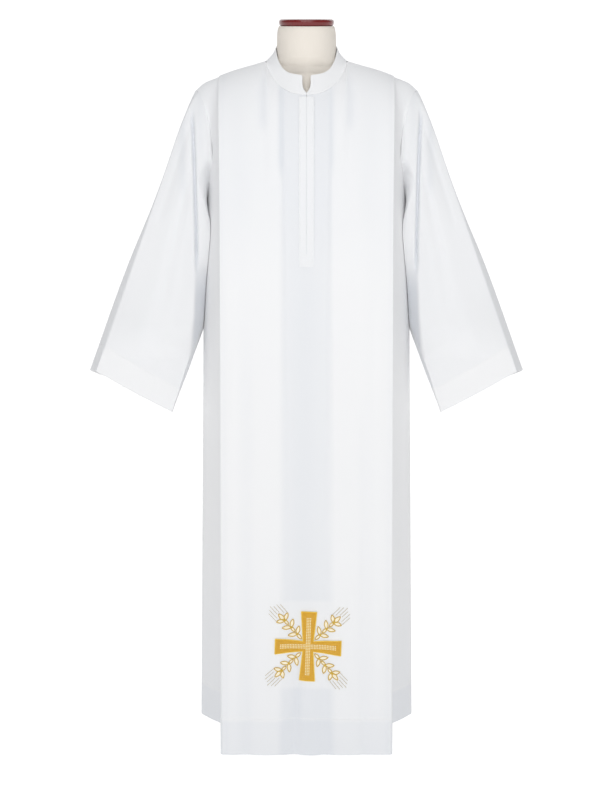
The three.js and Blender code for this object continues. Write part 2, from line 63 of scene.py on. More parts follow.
# Half sections of the body. pleat: half width between the pleat edges; face: how far the flat face stands
# from the middle; sunk: depth of the middle band; band: half width of that band; ease: width of the step at
# its edge; fold, tuck: radii of the pleat's outer and inner folds; under: depth of the pleat; turn: angle
# in degrees at which the cloth leaves the inner fold; lead, trail: how far it keeps straight on at the fold
# and at the side seam.
SECTION_KEYS = ("pleat", "face", "sunk", "band", "ease", "fold", "tuck", "under", "turn", "lead", "trail")
FRONT = {
    "side": -1,
    "hem": dict(zip(SECTION_KEYS, (195, 215, 5, 52, 44, 7, 14, 46, 100, 140, 24))),
    "chest": dict(zip(SECTION_KEYS, (187, 140, 4, 50, 12, 1.5, 0.8, 40, 172, 26, 50))),
}
BACK = {
    "side": 1,
    "hem": dict(zip(SECTION_KEYS, (176, 238, -4, 58, 60, 7, 14, 44, 100, 50, 60))),
    "chest": dict(zip(SECTION_KEYS, (168, 134, -2, 50, 50, 1.5, 0.8, 36, 172, 26, 48))),
}
SEAM_HEM, SEAM_CHEST = (252.0, 20.0), (228.0, 0.0)  # the side seam's x and y at the hem and at the chest
# the shoulder seam's distance from the middle and its height
SHOULDER = ((88, 1566), (119, 1557), (158, 1546), (198, 1531), (224, 1519), (243, 1502))
NECK = {"half": 88.0, "front": 95.0, "back": 80.0, "y": 3.0}
COLLAR_TOP = {"half": 68.0, "front": 74.0, "back": 70.0, "y": 3.0}
# angle from the middle front in degrees, and the height of the neck seam or of the collar's top there
NECK_SEAM = ((0, 1498), (15, 1500), (30, 1507), (45, 1519), (60, 1537), (75, 1554), (90, 1566), (135, 1570),
             (180, 1571))
NECK_TOP = ((0, 1537), (30, 1542), (45, 1549), (60, 1563), (90, 1592), (135, 1602), (180, 1604))
# share of the way up the collar, and half the width of the keyhole there
NOTCH = ((0, 0.1), (0.1, 0.3), (0.16, 2.8), (0.28, 6.2), (0.45, 8.4), (0.65, 9.1), (0.93, 9.0), (1, 10.6))
ARM_LOW, ARM_TIP = (228.0, 1250.0), (243.0, 1502.0)  # the armhole's x and height under the arm and at the tip
ARM_SCOOP = 26.0  # how far the armhole curves inwards
ARM_REACH = 60.0  # how far it curves to the front and to the back
ARM_CREASE = 16.0  # how far the cloth is pinched in low on the armhole
ARM_PINCH = (1258, 1325, 34)  # low end, high end and run-out of that pinch
# share of the way along the sleeve, 0 at the armhole, then x, y and height of each corner of its section
SLEEVE_CORNERS = {
    "outer_front": ((0, 241, -22, 1490), (0.07, 260, -29, 1462), (0.15, 276, -33, 1425),
                    (0.3, 314, -34, 1320),
                    (1, 475, -32, 879)),
    "outer_back": ((0, 241, 26, 1490), (0.07, 260, 27, 1458), (0.15, 275, 27, 1421), (0.3, 313, 29, 1314),
                   (0.6, 400, 34, 1123), (1, 498, 38, 867)),
    "inner_back": ((0, 226, 18, 1256), (0.2, 231, 44, 1190), (0.45, 231, 49, 1090), (0.64, 234, 46, 985),
                   (0.78, 257, 37, 908), (1, 310, 22, 779)),
    "inner_front": ((0, 219, -34, 1256), (0.08, 212, -52, 1236), (0.2, 212, -54, 1200),
                    (0.33, 216, -46, 1150),
                    (0.45, 221, -34, 1100), (0.57, 227, -22, 1042), (0.64, 232, -16, 995),
                    (0.71, 246, -24, 955),
                    (0.78, 263, -38, 912), (1, 307, -20, 782)),
}
# how far each face is bowed out at the armhole and at the cuff
SLEEVE_BULGE = {"front": (20.0, 9.0), "back": (24.0, 14.0), "outer": (4.0, 2.0), "inner": (5.0, 3.0)}
SLEEVE_CLEAR = 0.5  # how far the sleeve keeps off the body's side
SIDE_SLOPE, SIDE_ROUND = 0.2, 0.0023  # how the body's side falls away in front of and behind the side seam
SLEEVE_FREE = 1262, 24  # below this height, and over this much of it, the sleeve keeps off the body
# height, and how far the sleeve's front is pushed forwards at the ridge there
SLEEVE_PRESS = ((912, 0), (955, 22), (995, 36), (1042, 33), (1100, 22), (1150, 9), (1200, 0))
# half width, low end, high end and the low end of the slit
PLACKET = {"half": 16.3, "low": 1133.0, "high": 1493.0, "slit": 1160.0}
ZIP = {"half": 13.0, "low": 1140.0, "high": 1492.0, "behind": 0.7, "thick": 0.8}
CROSS = {"x": 3.4, "z": 283.0, "half": 74.0, "tall": 79.7, "waist": 10.9, "flare": 6.6, "tilt": 1.8}
# height, half width, half depth, how far back the middle lies, and how full the section is (2 is an oval)
FORM = (
    (822, 160, 112, 6, 2), (834, 168, 119, 6, 2), (930, 178, 126, 8, 2), (1090, 158, 104, 2, 2),
    (1230, 172, 114, -2, 2), (1340, 185, 112, -4, 2), (1430, 196, 94, 0, 2), (1480, 200, 80, 2, 1.8),
    (1510, 196, 70, 3, 1.5), (1528, 172, 64, 3, 1.3), (1543, 136, 57, 3, 1.25), (1555, 94, 57, 3, 1.35),
    (1565, 72, 60, 3, 1.7), (1577, 64.5, 63.5, 3, 2), (1600, 64.5, 64, 3, 2), (1622, 64, 63.5, 3, 2),
    (1634, 62.5, 62, 3, 2), (1640, 60, 60, 3, 2),
)

# ---- soft folds, placed one by one ----
# x at the low end, x at the high end, low end, high end, width, height (a trough is negative), run-out at
# each end
FRONT_FOLDS = (
    (-92, -88, 30, 1180, 30, 2.4, 160),
    (96, 90, 30, 1240, 32, 2.2, 170),
    (-136, -128, 30, 860, 15, -1.9, 180),
    (128, 122, 30, 720, 15, -1.6, 170),
    (-168, -160, 120, 1040, 12, 1.2, 160),
    (165, 158, 200, 980, 13, 1.0, 160),
    (-27, -20, 30, 215, 11, -3.6, 90),
    (14, 10, 30, 190, 18, 2.4, 90),
    (-8, -4, 400, 1060, 26, -2.2, 160),
    (-146, -154, 1300, 1440, 24, -1.8, 110),
    (130, 140, 1290, 1440, 24, -1.6, 110),
    (-96, -104, 1440, 1500, 9, -1.6, 20),
    (98, 103, 1435, 1500, 9, -1.5, 20),
    (-70, -66, 1330, 1480, 10, 1.2, 35),
    (70, 66, 1320, 1480, 10, 1.1, 35),
)
BACK_FOLDS = (
    (0, 0, 30, 1300, 40, -3.0, 180),
    (-88, -80, 30, 1200, 26, 3.0, 170),
    (92, 84, 30, 1160, 28, 2.8, 170),
    (-128, -120, 30, 900, 14, -2.4, 160),
    (126, 122, 30, 760, 15, -2.0, 160),
    (26, 14, 30, 330, 14, 3.0, 110),
    (-30, -22, 30, 280, 12, -3.2, 100),
    (-140, -128, 1300, 1450, 16, -2.6, 50),
    (138, 126, 1290, 1450, 16, -2.6, 50),
)
# share of the way from the pleat to the side seam at the low and high ends, then as above, standing out
# sideways
SIDE_FOLDS = (
    (0.62, 0.52, 30, 420, 0.12, 4.0, 150),
    (0.34, 0.30, 30, 330, 0.09, -4.0, 130),
    (0.48, 0.55, 500, 1050, 0.14, -2.0, 180),
    (0.80, 0.74, 260, 800, 0.10, 2.2, 170),
)
# the fold that hangs from the shoulder tip down the front of each sleeve: height, distance from the middle
SLEEVE_RIDGE = ((938, 258), (1024, 251), (1136, 247), (1200, 247), (1312, 248), (1399, 250.5), (1450, 253),
                (1476, 248))
# low end, high end and run-out of the ridge's rise and of the groove beside it: offset from the ridge,
# width, depth
RIDGE_RISE = {"span": (1150, 1420, 60), "off": 9, "wide": 15, "high": 2.5, "lead": 0.05}
RIDGE_GROOVE = {"span": (1150, 1420, 50), "off": -4, "wide": 3.4, "high": -9.0, "lead": 0.035}
# place across the sleeve's front (0 under the arm, 1 at the outer crease) at the cuff end and the shoulder
# end, where it starts and ends along the sleeve, width, height, run-out
SLEEVE_FOLDS = (
    (0.46, 0.62, 0.16, 0.62, 0.07, -3.0, 0.10),
    (0.30, 0.40, 0.34, 0.88, 0.09, -2.2, 0.10),
    (0.62, 0.72, 0.30, 0.80, 0.10, 1.8, 0.12),
    (0.84, 0.86, 0.10, 0.40, 0.05, -1.6, 0.06),
)
# place across the sleeve's back (0 at the outer crease), start and end along the sleeve, width, height
SLEEVE_BACK_FOLDS = ((0.35, 0.12, 0.6, 0.08, -3.5), (0.6, 0.2, 0.9, 0.1, -2.5), (0.75, 0.05, 0.35, 0.07, 3))


# ---- shaping by arrays ----
def ease(t):
    """A soft step from 0 to 1: 3 t squared less 2 t cubed."""
    t = np.clip(t, 0.0, 1.0)
    return t * t * (3 - 2 * t)


def mix(a, b, t):
    """a at 0, b at 1, straight between."""
    return a + (b - a) * t


def curve(rows, at):
    """Value at each place on a smooth line through rows of (place, value). Each span is a cubic, and its
    slope at a row is the harmonic mean of the slopes on both sides, or flat at a turning point, so it never
    overshoots."""
    x, y = np.array(rows, float).T
    h = np.diff(x)
    d = np.diff(y) / h
    before, after = d[:-1], d[1:]
    inner = np.where(before * after > 0,
                     2 * before * after / np.where(before + after == 0, 1, before + after), 0)
    m = np.concatenate([d[:1], inner, d[-1:]])
    at = np.asarray(at, float)
    i = np.clip(np.searchsorted(x, at, side="right") - 1, 0, len(h) - 1)
    t = np.clip((at - x[i]) / h[i], 0, 1)
    return (y[i] * (1 + 2 * t) * (1 - t) ** 2 + y[i + 1] * t * t * (3 - 2 * t)
            + h[i] * (m[i] * t * (1 - t) ** 2 + m[i + 1] * t * t * (t - 1)))


def bell(x, middle, width):
    """1 at the middle, falling off on both sides as a bell of this width."""
    return np.exp(-(((x - middle) / width) ** 2))


def window(z, low, high, run):
    """1 between low and high, easing to 0 over the run-out beyond each end."""
    return ease((z - low) / run + 1) * ease((high - z) / run + 1)


def folds_at(rows, across, z):
    """Sum of soft folds: each a bell across its width, along a straight line between its two ends."""
    total = np.zeros(np.broadcast(across, z).shape)
    for x_low, x_high, low, high, width, height, run in rows:
        line = mix(x_low, x_high, np.clip((z - low) / (high - low), 0, 1))
        total += height * bell(across, line, width) * window(z, low, high, run)
    return total


def blurred(points, passes, weight):
    """Rows of points averaged with their neighbours (1, 2, 1), again and again, where the weight says so."""
    soft = points.copy()
    for _ in range(passes):
        soft[1:-1] = (soft[:-2] + 2 * soft[1:-1] + soft[2:]) / 4
    return mix(points, soft, weight)


def section(piece, level):
    """The section's sizes at each level, 0 at the hem and 1 at the chest, as columns."""
    return {k: mix(piece["hem"][k], piece["chest"][k], level)[:, None] for k in SECTION_KEYS}


def side_curve(s, out, seam, x0, deep0, t):
    """The cubic Bezier that runs from the pleat's inner fold back to the side seam."""
    turn = np.radians(s["turn"])
    y0 = out * (s["face"] - deep0)
    end_x, end_y = seam[0][:, None], seam[1][:, None] + out * SEAM_GAP * 0.7
    px = (x0, x0 - s["lead"] * np.cos(turn), end_x - s["trail"] * 0.2, end_x)
    py = (y0, y0 - out * s["lead"] * np.sin(turn), end_y + out * s["trail"], end_y)
    weights = ((1 - t) ** 3, 3 * t * (1 - t) ** 2, 3 * t * t * (1 - t), t**3)
    return sum(w * p for w, p in zip(weights, px)), sum(w * p for w, p in zip(weights, py))


def half_section(piece, level):
    """Half a horizontal section at each level, from the middle to the side seam: a sunk middle band, a step
    up to the flat face, a fold at the pleat's edge, the cloth tucked under, a second fold, and a curve back
    to the seam. Gives x, y, the depth under the face, the share of the way to the seam, and how many
    columns face forwards."""
    out, s = piece["side"], section(piece, level)
    seam = [mix(a, b, level) for a, b in zip(SEAM_HEM, SEAM_CHEST)]
    edge, flat, start = s["band"] - s["ease"] / 2, s["pleat"] - s["fold"], s["band"] + s["ease"] / 2
    inside = s["pleat"] - s["under"]
    turn = np.radians(s["turn"])
    xs, deeps = [], []

    def put(x, deep):
        xs.append(np.broadcast_to(x, (len(level), np.shape(x)[1])))
        deeps.append(np.broadcast_to(deep, xs[-1].shape))

    t = np.array([[0.4 / 30, 0.15, 0.3, 0.45, 0.543, 0.6, 0.75, 0.9]])
    put(edge * t, s["sunk"])
    t = np.linspace(0, 1, 10)[None]
    put(edge + s["ease"] * t, s["sunk"] * (1 - ease(t)))
    t = np.linspace(0, 1, 32)[None, 1:]
    put(mix(start, flat, t), 0.0)
    facing = sum(x.shape[1] for x in xs)
    a = np.radians(np.linspace(0, 180, 9))[None, 1:]
    put(flat + s["fold"] * np.sin(a), s["fold"] * (1 - np.cos(a)))
    t = np.linspace(0, 1, 6)[None, 1:]
    put(mix(flat, inside, t), 2 * s["fold"])
    t = np.linspace(0, 1, 8)[None, 1:]
    put(inside - s["tuck"] * np.sin(turn * t), 2 * s["fold"] + s["tuck"] * (1 - np.cos(turn * t)))
    x, deep = np.concatenate(xs, 1), np.concatenate(deeps, 1)
    y = out * (s["face"] - deep)
    share = np.concatenate([np.zeros(x.shape[1]), np.linspace(0, 1, 25)[1:]])
    t = share[None, x.shape[1]:]
    gx, gy = side_curve(s, out, seam, x[:, -1:], deep[:, -1:], t)
    tuck_x = side_curve(s, out, seam, x[:, -1:], deep[:, -1:], np.array([[0.22]]))[0]
    return (np.concatenate([x, gx], 1), np.concatenate([y, gy], 1),
            np.concatenate([deep, deep[:, -1:] * (1 - t)], 1), share, facing, tuck_x)


def neck_point(ring, angle, z):
    """A point of an oval ring at an angle from the middle front, in degrees."""
    a = np.radians(angle)
    reach = np.where(np.cos(a) > 0, ring["front"], ring["back"])
    return np.stack(np.broadcast_arrays(ring["half"] * np.sin(a), ring["y"] - reach * np.cos(a), z), -1)


def armhole_point(side, up):
    """The armhole's edge from under the arm (0) to the tip of the shoulder (1): half a turn, scooped
    inwards."""
    a = np.pi * np.asarray(up, float)
    height = mix(ARM_LOW[1], ARM_TIP[1], (1 - np.cos(a)) / 2)
    crease = ARM_CREASE * window(height, *ARM_PINCH)
    return np.stack([
        mix(ARM_LOW[0], ARM_TIP[0], up) - ARM_SCOOP * np.sin(a),
        mix(SEAM_CHEST[1], SHOULDER_Y, up) + side * (ARM_REACH * np.sin(a) - crease + SEAM_GAP * 0.7),
        height], -1)


def top_of(piece, x, deep):
    """Where each line of the cloth ends on the shoulder seam or the neckline, and how steeply it gets
    there."""
    out = piece["side"]
    angle = np.degrees(np.arcsin(np.clip(x / NECK["half"], 0, 1)))
    around = angle if out < 0 else 180 - angle
    neck = neck_point(NECK, around, curve(NECK_SEAM, around))
    on_neck = x < NECK["half"]
    y = np.where(on_neck, neck[..., 1] - out * deep * 0.2, SHOULDER_Y + out * SEAM_GAP * 0.7)
    z = np.where(on_neck, neck[..., 2] - SEAM_GAP - deep * 0.2, curve(SHOULDER, x) - deep)
    steep = np.where(on_neck, mix(58.0, 90.0, np.clip(x / NECK["half"], 0, 1) ** 3), 90.0)
    return y, z, np.radians(steep)


def half_body(piece, folds, mirror):
    """One half of the front or back as a grid of points: level rows from the hem to the chest, then rows
    that rise over the shoulder on a quarter of an oval, with the soft folds added. Rows run up and columns
    run outwards."""
    out = piece["side"]
    heights = np.linspace(HEM_Z, CHEST_Z, 146)
    level = (heights - HEM_Z) / (CHEST_Z - HEM_Z)
    x, y, deep, share, facing, _ = half_section(piece, level)
    z = np.broadcast_to(heights[:, None], x.shape).copy()
    if out < 0:
        dip = 1 - np.clip((z - HEM_Z) / 80.0, 0, 1)
        z -= 3 * dip * (1 - ease(x / 80.0))
    cx, cy, cdeep, _, _, tuck_x = half_section(piece, np.array([1.0]))
    t = np.linspace(0, 1, 43)[1:, None]
    to_seam = share[None] > 0
    spread = mix(SPREAD, 1.0, ease(share / 0.22))[None]
    end_x = np.where(to_seam, mix(cx * spread, mix(tuck_x * spread, ARM_TIP[0], share), share), cx * SPREAD)
    top_y, top_z, steep = top_of(piece, np.minimum(end_x, ARM_TIP[0]), np.maximum(cdeep, 0))
    dx = mix(cx, end_x, ease(t))
    dy = mix(cy, top_y, (1 - np.cos(t * steep)) / (1 - np.cos(steep)))
    dz = mix(CHEST_Z, top_z, np.sin(t * steep) / np.sin(steep))
    dome = np.stack([dx, dy, dz], -1)
    edge = armhole_point(out, t[:, 0])
    plain = np.stack([mix(ARM_LOW[0], ARM_TIP[0], ease(t[:, 0])),
                      mix(SEAM_CHEST[1], SHOULDER_Y, 1 - np.cos(t[:, 0] * np.pi / 2)),
                      mix(ARM_LOW[1], ARM_TIP[1], np.sin(t[:, 0] * np.pi / 2))], -1)
    dome += (edge - plain)[:, None] * (share**3)[None, :, None]
    grid = np.concatenate([np.stack([x, y, z], -1), dome])
    row = np.arange(len(grid))
    near_chest = np.exp(-(((row - len(heights)) / 16.0) ** 2))[:, None, None] * (1 - share**4)[None, :, None]
    grid = blurred(grid, 90, near_chest)
    place = grid[..., 0].copy()
    place[:, facing:] = grid[:, facing - 1:facing, 0]
    height = grid[..., 2].copy()
    height[:, facing:] = grid[:, facing - 1:facing, 2]
    lift = folds_at(folds, -place if mirror else place, height)
    lift[:, facing:] *= (1 - share[None, facing:]) ** 2
    grid[..., 1] += out * lift
    sideways = folds_at(SIDE_FOLDS, share[None], height) * (share > 0)
    sideways = sideways * ease(share / 0.15) * ease((1 - share) / 0.15)
    grid[..., 0] += sideways * (0.8 if mirror else 1.0)
    if mirror:
        grid[..., 0] *= -1
    return grid, facing


def body_grid(piece, folds):
    """Both halves side by side, so that columns run to the right as seen from outside."""
    left, facing = half_body(piece, folds, True)
    right, _ = half_body(piece, folds, False)
    if piece["side"] < 0:
        return np.concatenate([left[:, ::-1], right], 1), facing
    return np.concatenate([right[:, ::-1], left], 1), facing


def front_y(x, z):
    """The front's outer face below the chest: the flat face, less the sunk middle band, plus the soft
    folds."""
    level = np.clip((z - HEM_Z) / (CHEST_Z - HEM_Z), 0, 1)
    s = {k: mix(FRONT["hem"][k], FRONT["chest"][k], level) for k in ("face", "sunk", "band", "ease")}
    step = ease((np.abs(x) - s["band"] + s["ease"] / 2) / s["ease"])
    return -(s["face"] - s["sunk"] * (1 - step)) - folds_at(FRONT_FOLDS, x, z)


def sleeve_corner(name, along):
    """One corner of the sleeve's section at each place along it."""
    rows = np.array(SLEEVE_CORNERS[name], float)
    return np.stack([curve(rows[:, (0, k)], along) for k in (1, 2, 3)], -1)


SLEEVE_COLUMNS = {"front": 64, "outer": 10, "back": 44, "inner": 30}


def armhole_loop():
    """The armhole as a closed loop: up its front edge, over the tip, down its back edge and under the arm."""
    low, high = 0.06, 0.93
    share = {k: np.arange(n) / n for k, n in SLEEVE_COLUMNS.items()}
    front = armhole_point(-1, mix(low, high, share["front"]))
    back = armhole_point(1, mix(high, low, share["back"]))
    tips = np.stack([armhole_point(-1, high), armhole_point(0, 1.0), armhole_point(1, high)])
    over = np.stack([np.interp(share["outer"], (0, 0.5, 1), tips[:, k]) for k in range(3)], -1)
    below = armhole_point(0, 0.0)
    under_points = np.stack([armhole_point(1, low), below + (0, 6, 0), below - (0, 6, 0),
                             armhole_point(-1, low)])
    under = np.stack([np.interp(share["inner"], (0, 0.33, 0.67, 1), under_points[:, k]) for k in range(3)],
                     -1)
    return np.concatenate([front, over, back, under])


def beside_body(y, z, along):
    """How far out a sleeve has to stay below the armhole: the side seam's line, less a slope and a square
    of the distance in front of or behind it, plus the clearance. It fades in below the armhole seam."""
    seam = mix(SEAM_HEM[0], SEAM_CHEST[0], (z - HEM_Z) / (CHEST_Z - HEM_Z))
    wall = seam - SIDE_SLOPE * np.abs(y) - SIDE_ROUND * y**2 + SLEEVE_CLEAR
    free, run = SLEEVE_FREE
    return wall * ease((free - z) / run) * ease(along / 0.05)[:, None]


def sleeve_grid():
    """The wearer's left sleeve. Rows run from the cuff to the armhole; columns run across the front from
    under the arm, over the outer face, down the back and along the inner face. Each face is bowed out, the
    corners are pressed creases, and near the armhole the section turns into the armhole's edge."""
    along = np.concatenate([np.linspace(1, 0.9, 16)[:-1], np.linspace(0.9, 0.26, 62)[:-1],
                            np.linspace(0.26, 0, 62)])
    corner = {k: sleeve_corner(k, along) for k in SLEEVE_CORNERS}
    outward = corner["outer_front"] - corner["inner_front"]
    outward[:, 1] = 0
    outward /= np.linalg.norm(outward, axis=1)[:, None]
    forward = np.broadcast_to(np.array([0.0, -1, 0]), outward.shape)
    sides = (("front", "inner_front", "outer_front", forward),
             ("outer", "outer_front", "outer_back", outward),
             ("back", "outer_back", "inner_back", -forward), ("inner", "inner_back", "inner_front", -outward))
    parts = []
    for side, a, b, away in sides:
        t = (np.arange(SLEEVE_COLUMNS[side]) / SLEEVE_COLUMNS[side])[None, :, None]
        bow = mix(*SLEEVE_BULGE[side], along)[:, None, None] * 4 * t * (1 - t)
        parts.append(mix(corner[a][:, None], corner[b][:, None], t) + away[:, None] * bow)
    grid = np.concatenate(parts, 1)
    blend = ease(along / 0.14)[:, None, None]
    start = armhole_loop()[None] + np.stack([SEAM_GAP + 40 * along, 0 * along, 0 * along], -1)[:, None]
    grid = mix(start, grid, blend)
    n = SLEEVE_COLUMNS["front"]
    across = (np.arange(n) / n)[None]
    lift = np.zeros(grid.shape[:2])
    x, z = grid[:, :n, 0], grid[:, :n, 2]
    first, last = x[:, :1], grid[:, n:n + 1, 0]
    ridge = np.clip((curve(SLEEVE_RIDGE, z) - first) / (last - first), 0.02, 0.9)
    lift[:, :n] += curve(SLEEVE_PRESS, z) * np.minimum(across / ridge, (1 - across) / (1 - ridge))
    for at_cuff, at_top, low, high, width, height, run in SLEEVE_FOLDS:
        line = mix(at_top, at_cuff, along)[:, None]
        lift[:, :n] += height * bell(across, line, width) * window(along, low, high, run)[:, None]
    off = x - curve(SLEEVE_RIDGE, z)
    for fold in (RIDGE_RISE, RIDGE_GROOVE):
        shape = fold["high"] * bell(off, fold["off"], fold["wide"])
        lift[:, :n] += shape * window(z, *fold["span"]) * ease(along / fold["lead"])[:, None]
    back = slice(n + SLEEVE_COLUMNS["outer"], n + SLEEVE_COLUMNS["outer"] + SLEEVE_COLUMNS["back"])
    m = SLEEVE_COLUMNS["back"]
    down = (np.arange(m) / m)[None]
    for line, low, high, width, height in SLEEVE_BACK_FOLDS:
        lift[:, back] -= height * bell(down, line, width) * window(along, low, high, 0.1)[:, None]
    grid[..., 1] -= lift
    grid[..., 0] = np.maximum(grid[..., 0], beside_body(grid[..., 1], grid[..., 2], along))
    middle = grid[-1].mean(0, keepdims=True)
    allowance = grid[-1] + (middle - grid[-1]) * 0.04 - (4.0, 0, 0)
    return np.concatenate([grid, allowance[None]]), np.append(along, -0.01)


def normals_of(grid, closed):
    """Unit normals of a grid: the step across crossed with the step up."""
    across = np.roll(grid, -1, 1) - np.roll(grid, 1, 1) if closed else np.gradient(grid, axis=1)
    n = np.cross(across, np.gradient(grid, axis=0))
    return n / np.maximum(np.linalg.norm(n, axis=2, keepdims=True), 1e-9)


def lengths_of(grid, axis):
    """Distance along each row or column of a grid, from its start."""
    step = np.linalg.norm(np.diff(grid, axis=axis), axis=2)
    zero = np.zeros_like(np.take(step, [0], axis=axis))
    return np.concatenate([zero, np.cumsum(step, axis=axis)], axis=axis)


# ---- meshes ----
def mesh_object(name, points, faces, uv=None, sharp=None, material=None):
    """A mesh object at the origin from points in millimetres, riding on the one body."""
    mesh = bpy.data.meshes.new(name)
    mesh.from_pydata((np.asarray(points, float).reshape(-1, 3) * MM).tolist(), [], [list(f) for f in faces])
    if uv is not None:
        layer = mesh.uv_layers.new(name="UVMap")
        layer.data.foreach_set("uv", (np.asarray(uv, float).reshape(-1, 2) * MM).ravel())
    mesh.polygons.foreach_set("use_smooth", np.full(len(mesh.polygons), True))
    mesh.update()
    if sharp is not None:
        mesh.set_sharp_from_angle(angle=math.radians(sharp))
    obj = bpy.data.objects.new(name, mesh)
    bpy.context.scene.collection.objects.link(obj)
    if material is not None:
        mesh.materials.append(material)
    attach(obj, "root")
    return obj


def quads_of(rows, cols, closed):
    """Corner indices of a grid's quads, and its column count with the wrap."""
    r, c = np.meshgrid(np.arange(rows - 1), np.arange(cols if closed else cols - 1), indexing="ij")
    d = (c + 1) % cols
    return np.stack([r * cols + c, r * cols + d, (r + 1) * cols + d, (r + 1) * cols + c], -1), r, c


def corner_lengths(grid, closed):
    """Distance across and distance up at the four corners of each quad of a grid, as a pattern's
    coordinates."""
    wide = np.concatenate([grid, grid[:, :1]], 1) if closed else grid
    _, r, c = quads_of(*grid.shape[:2], closed)
    corners = ((r, c), (r, c + 1), (r + 1, c + 1), (r + 1, c))
    return np.stack([np.stack([far[at] for at in corners], -1)
                     for far in (lengths_of(wide, 1), lengths_of(wide, 0))], -1)


def shell(name, grid, thick, closed=False, keep=None, sharp=40, material=None, painted_shade=None):
    """A closed wall of cloth: the grid is its outer face, the inner face lies a thickness behind along the
    normals, and a rim joins them round every edge, also round the quads that are left out. The last
    argument gives painted shade: point by point, how far the cloth's colour is darkened, from 0 to 1."""
    rows, cols = grid.shape[:2]
    thick = np.broadcast_to(np.asarray(thick, float).reshape(-1, 1, 1), (rows, 1, 1))
    inner = grid - normals_of(grid, closed) * thick
    quads = quads_of(rows, cols, closed)[0]
    kept = np.ones(quads.shape[:2], bool) if keep is None else keep
    uv = corner_lengths(grid, closed)
    behind = rows * cols
    faces, uvs = [quads[kept], quads[kept][:, ::-1] + behind], [uv[kept], uv[kept][:, ::-1]]
    pad = np.zeros((rows + 1, kept.shape[1] + 2), bool)
    pad[1:-1, 1:-1] = kept
    if closed:
        pad[1:-1, 0], pad[1:-1, -1] = kept[:, -1], kept[:, 0]
    neighbours = (pad[:-2, 1:-1], pad[1:-1, 2:], pad[2:, 1:-1], pad[1:-1, :-2])
    for (i, j), other in zip(((0, 1), (1, 2), (2, 3), (3, 0)), neighbours):
        rim = kept & ~other
        a, b = quads[rim][:, i], quads[rim][:, j]
        faces.append(np.stack([b, a, a + behind, b + behind], -1))
        uvs.append(np.stack([uv[rim][:, j], uv[rim][:, i], uv[rim][:, i], uv[rim][:, j]], 1))
    points = np.concatenate([grid.reshape(-1, 3), inner.reshape(-1, 3)])
    faces, uvs = np.concatenate(faces), np.concatenate(uvs)
    used, faces = np.unique(faces, return_inverse=True)
    obj = mesh_object(name, points[used], faces.reshape(-1, 4), uvs, sharp, material)
    if painted_shade is not None:
        # painted shade, stored on each point of both faces, for the cloth's material to darken its colour
        layer = obj.data.attributes.new("painted_shade", "FLOAT", "POINT")
        both = np.tile(np.broadcast_to(painted_shade, (rows, cols)).ravel(), 2)
        layer.data.foreach_set("value", np.clip(both, 0, 1)[used].astype(np.float32))
    return obj


def mirrored(grid):
    """The same grid on the other side of the middle, its columns turned round so that it still faces out."""
    return (grid * (-1, 1, 1))[:, ::-1]


def tube(path, radius, normal, around=6, closed=False, flat=1.0):
    """A cord: a ring of points carried along each path. Paths are (n, points, 3); rings lie in the plane of
    the path's normal and the cross direction, and are flattened along the normal. Gives points and
    faces."""
    path = np.asarray(path, float)
    if path.ndim == 2:
        path = path[None]
    along = np.roll(path, -1, 1) - np.roll(path, 1, 1) if closed else np.gradient(path, axis=1)
    along /= np.maximum(np.linalg.norm(along, axis=2, keepdims=True), 1e-9)
    normal = np.broadcast_to(normal, path.shape)
    cross = np.cross(along, normal)
    cross /= np.maximum(np.linalg.norm(cross, axis=2, keepdims=True), 1e-9)
    a = 2 * np.pi * np.arange(around) / around
    radius = np.broadcast_to(np.asarray(radius, float), path.shape[:2])[..., None, None]
    ring = path[:, :, None] + radius * (cross[:, :, None] * np.cos(a)[:, None]
                                        + normal[:, :, None] * np.sin(a)[:, None] * flat)
    count, long = path.shape[:2]
    i, j, k = np.meshgrid(np.arange(count), np.arange(long if closed else long - 1), np.arange(around),
                          indexing="ij")
    at = lambda jj, kk: (i * long + jj % long) * around + kk % around
    faces = np.stack([at(j, k), at(j, k + 1), at(j + 1, k + 1), at(j + 1, k)], -1).reshape(-1, 4)
    lists = faces.tolist()
    if not closed:
        ends = np.arange(count)[:, None] * long * around + np.arange(around)
        lists += ends[:, ::-1].tolist() + (ends + (long - 1) * around).tolist()
    return ring.reshape(-1, 3), lists


def joined(parts):
    """Several (points, faces) made one."""
    points, faces, start = [], [], 0
    for p, f in parts:
        points.append(p)
        faces += [[v + start for v in face] for face in f]
        start += len(p)
    return np.concatenate(points), faces


def along_path(path, pitch):
    """Points at an even pitch along a path, and the direction there."""
    far = np.concatenate([[0], np.cumsum(np.linalg.norm(np.diff(path, axis=0), axis=1))])
    at = np.arange(pitch * 0.5, far[-1], pitch)
    point = np.stack([np.interp(at, far, path[:, k]) for k in range(3)], -1)
    ahead = np.stack([np.interp(np.minimum(at + 0.5, far[-1]), far, path[:, k]) for k in range(3)], -1)
    behind = np.stack([np.interp(np.maximum(at - 0.5, 0), far, path[:, k]) for k in range(3)], -1)
    direction = ahead - behind
    return point, direction / np.maximum(np.linalg.norm(direction, axis=1, keepdims=True), 1e-9)


def stitches(path, normal, pitch=3.4, long=2.5, wide=0.55, high=0.35):
    """A row of stitches: a short rounded bead at each step of the pitch, lying along the path."""
    path, normal = np.asarray(path, float), np.broadcast_to(np.asarray(normal, float), np.shape(path))
    point, direction = along_path(path, pitch)
    far = np.concatenate([[0], np.cumsum(np.linalg.norm(np.diff(path, axis=0), axis=1))])
    at = np.arange(pitch * 0.5, far[-1], pitch)
    up = np.stack([np.interp(at, far, normal[:, k]) for k in range(3)], -1)
    up /= np.maximum(np.linalg.norm(up, axis=1, keepdims=True), 1e-9)
    reach = np.array([-0.5, -0.32, 0.32, 0.5]) * long
    size = np.array([0.25, 1, 1, 0.25])
    line = point[:, None] + direction[:, None] * reach[None, :, None]
    return tube(line, wide * size[None], up[:, None], 5, False, high / wide)
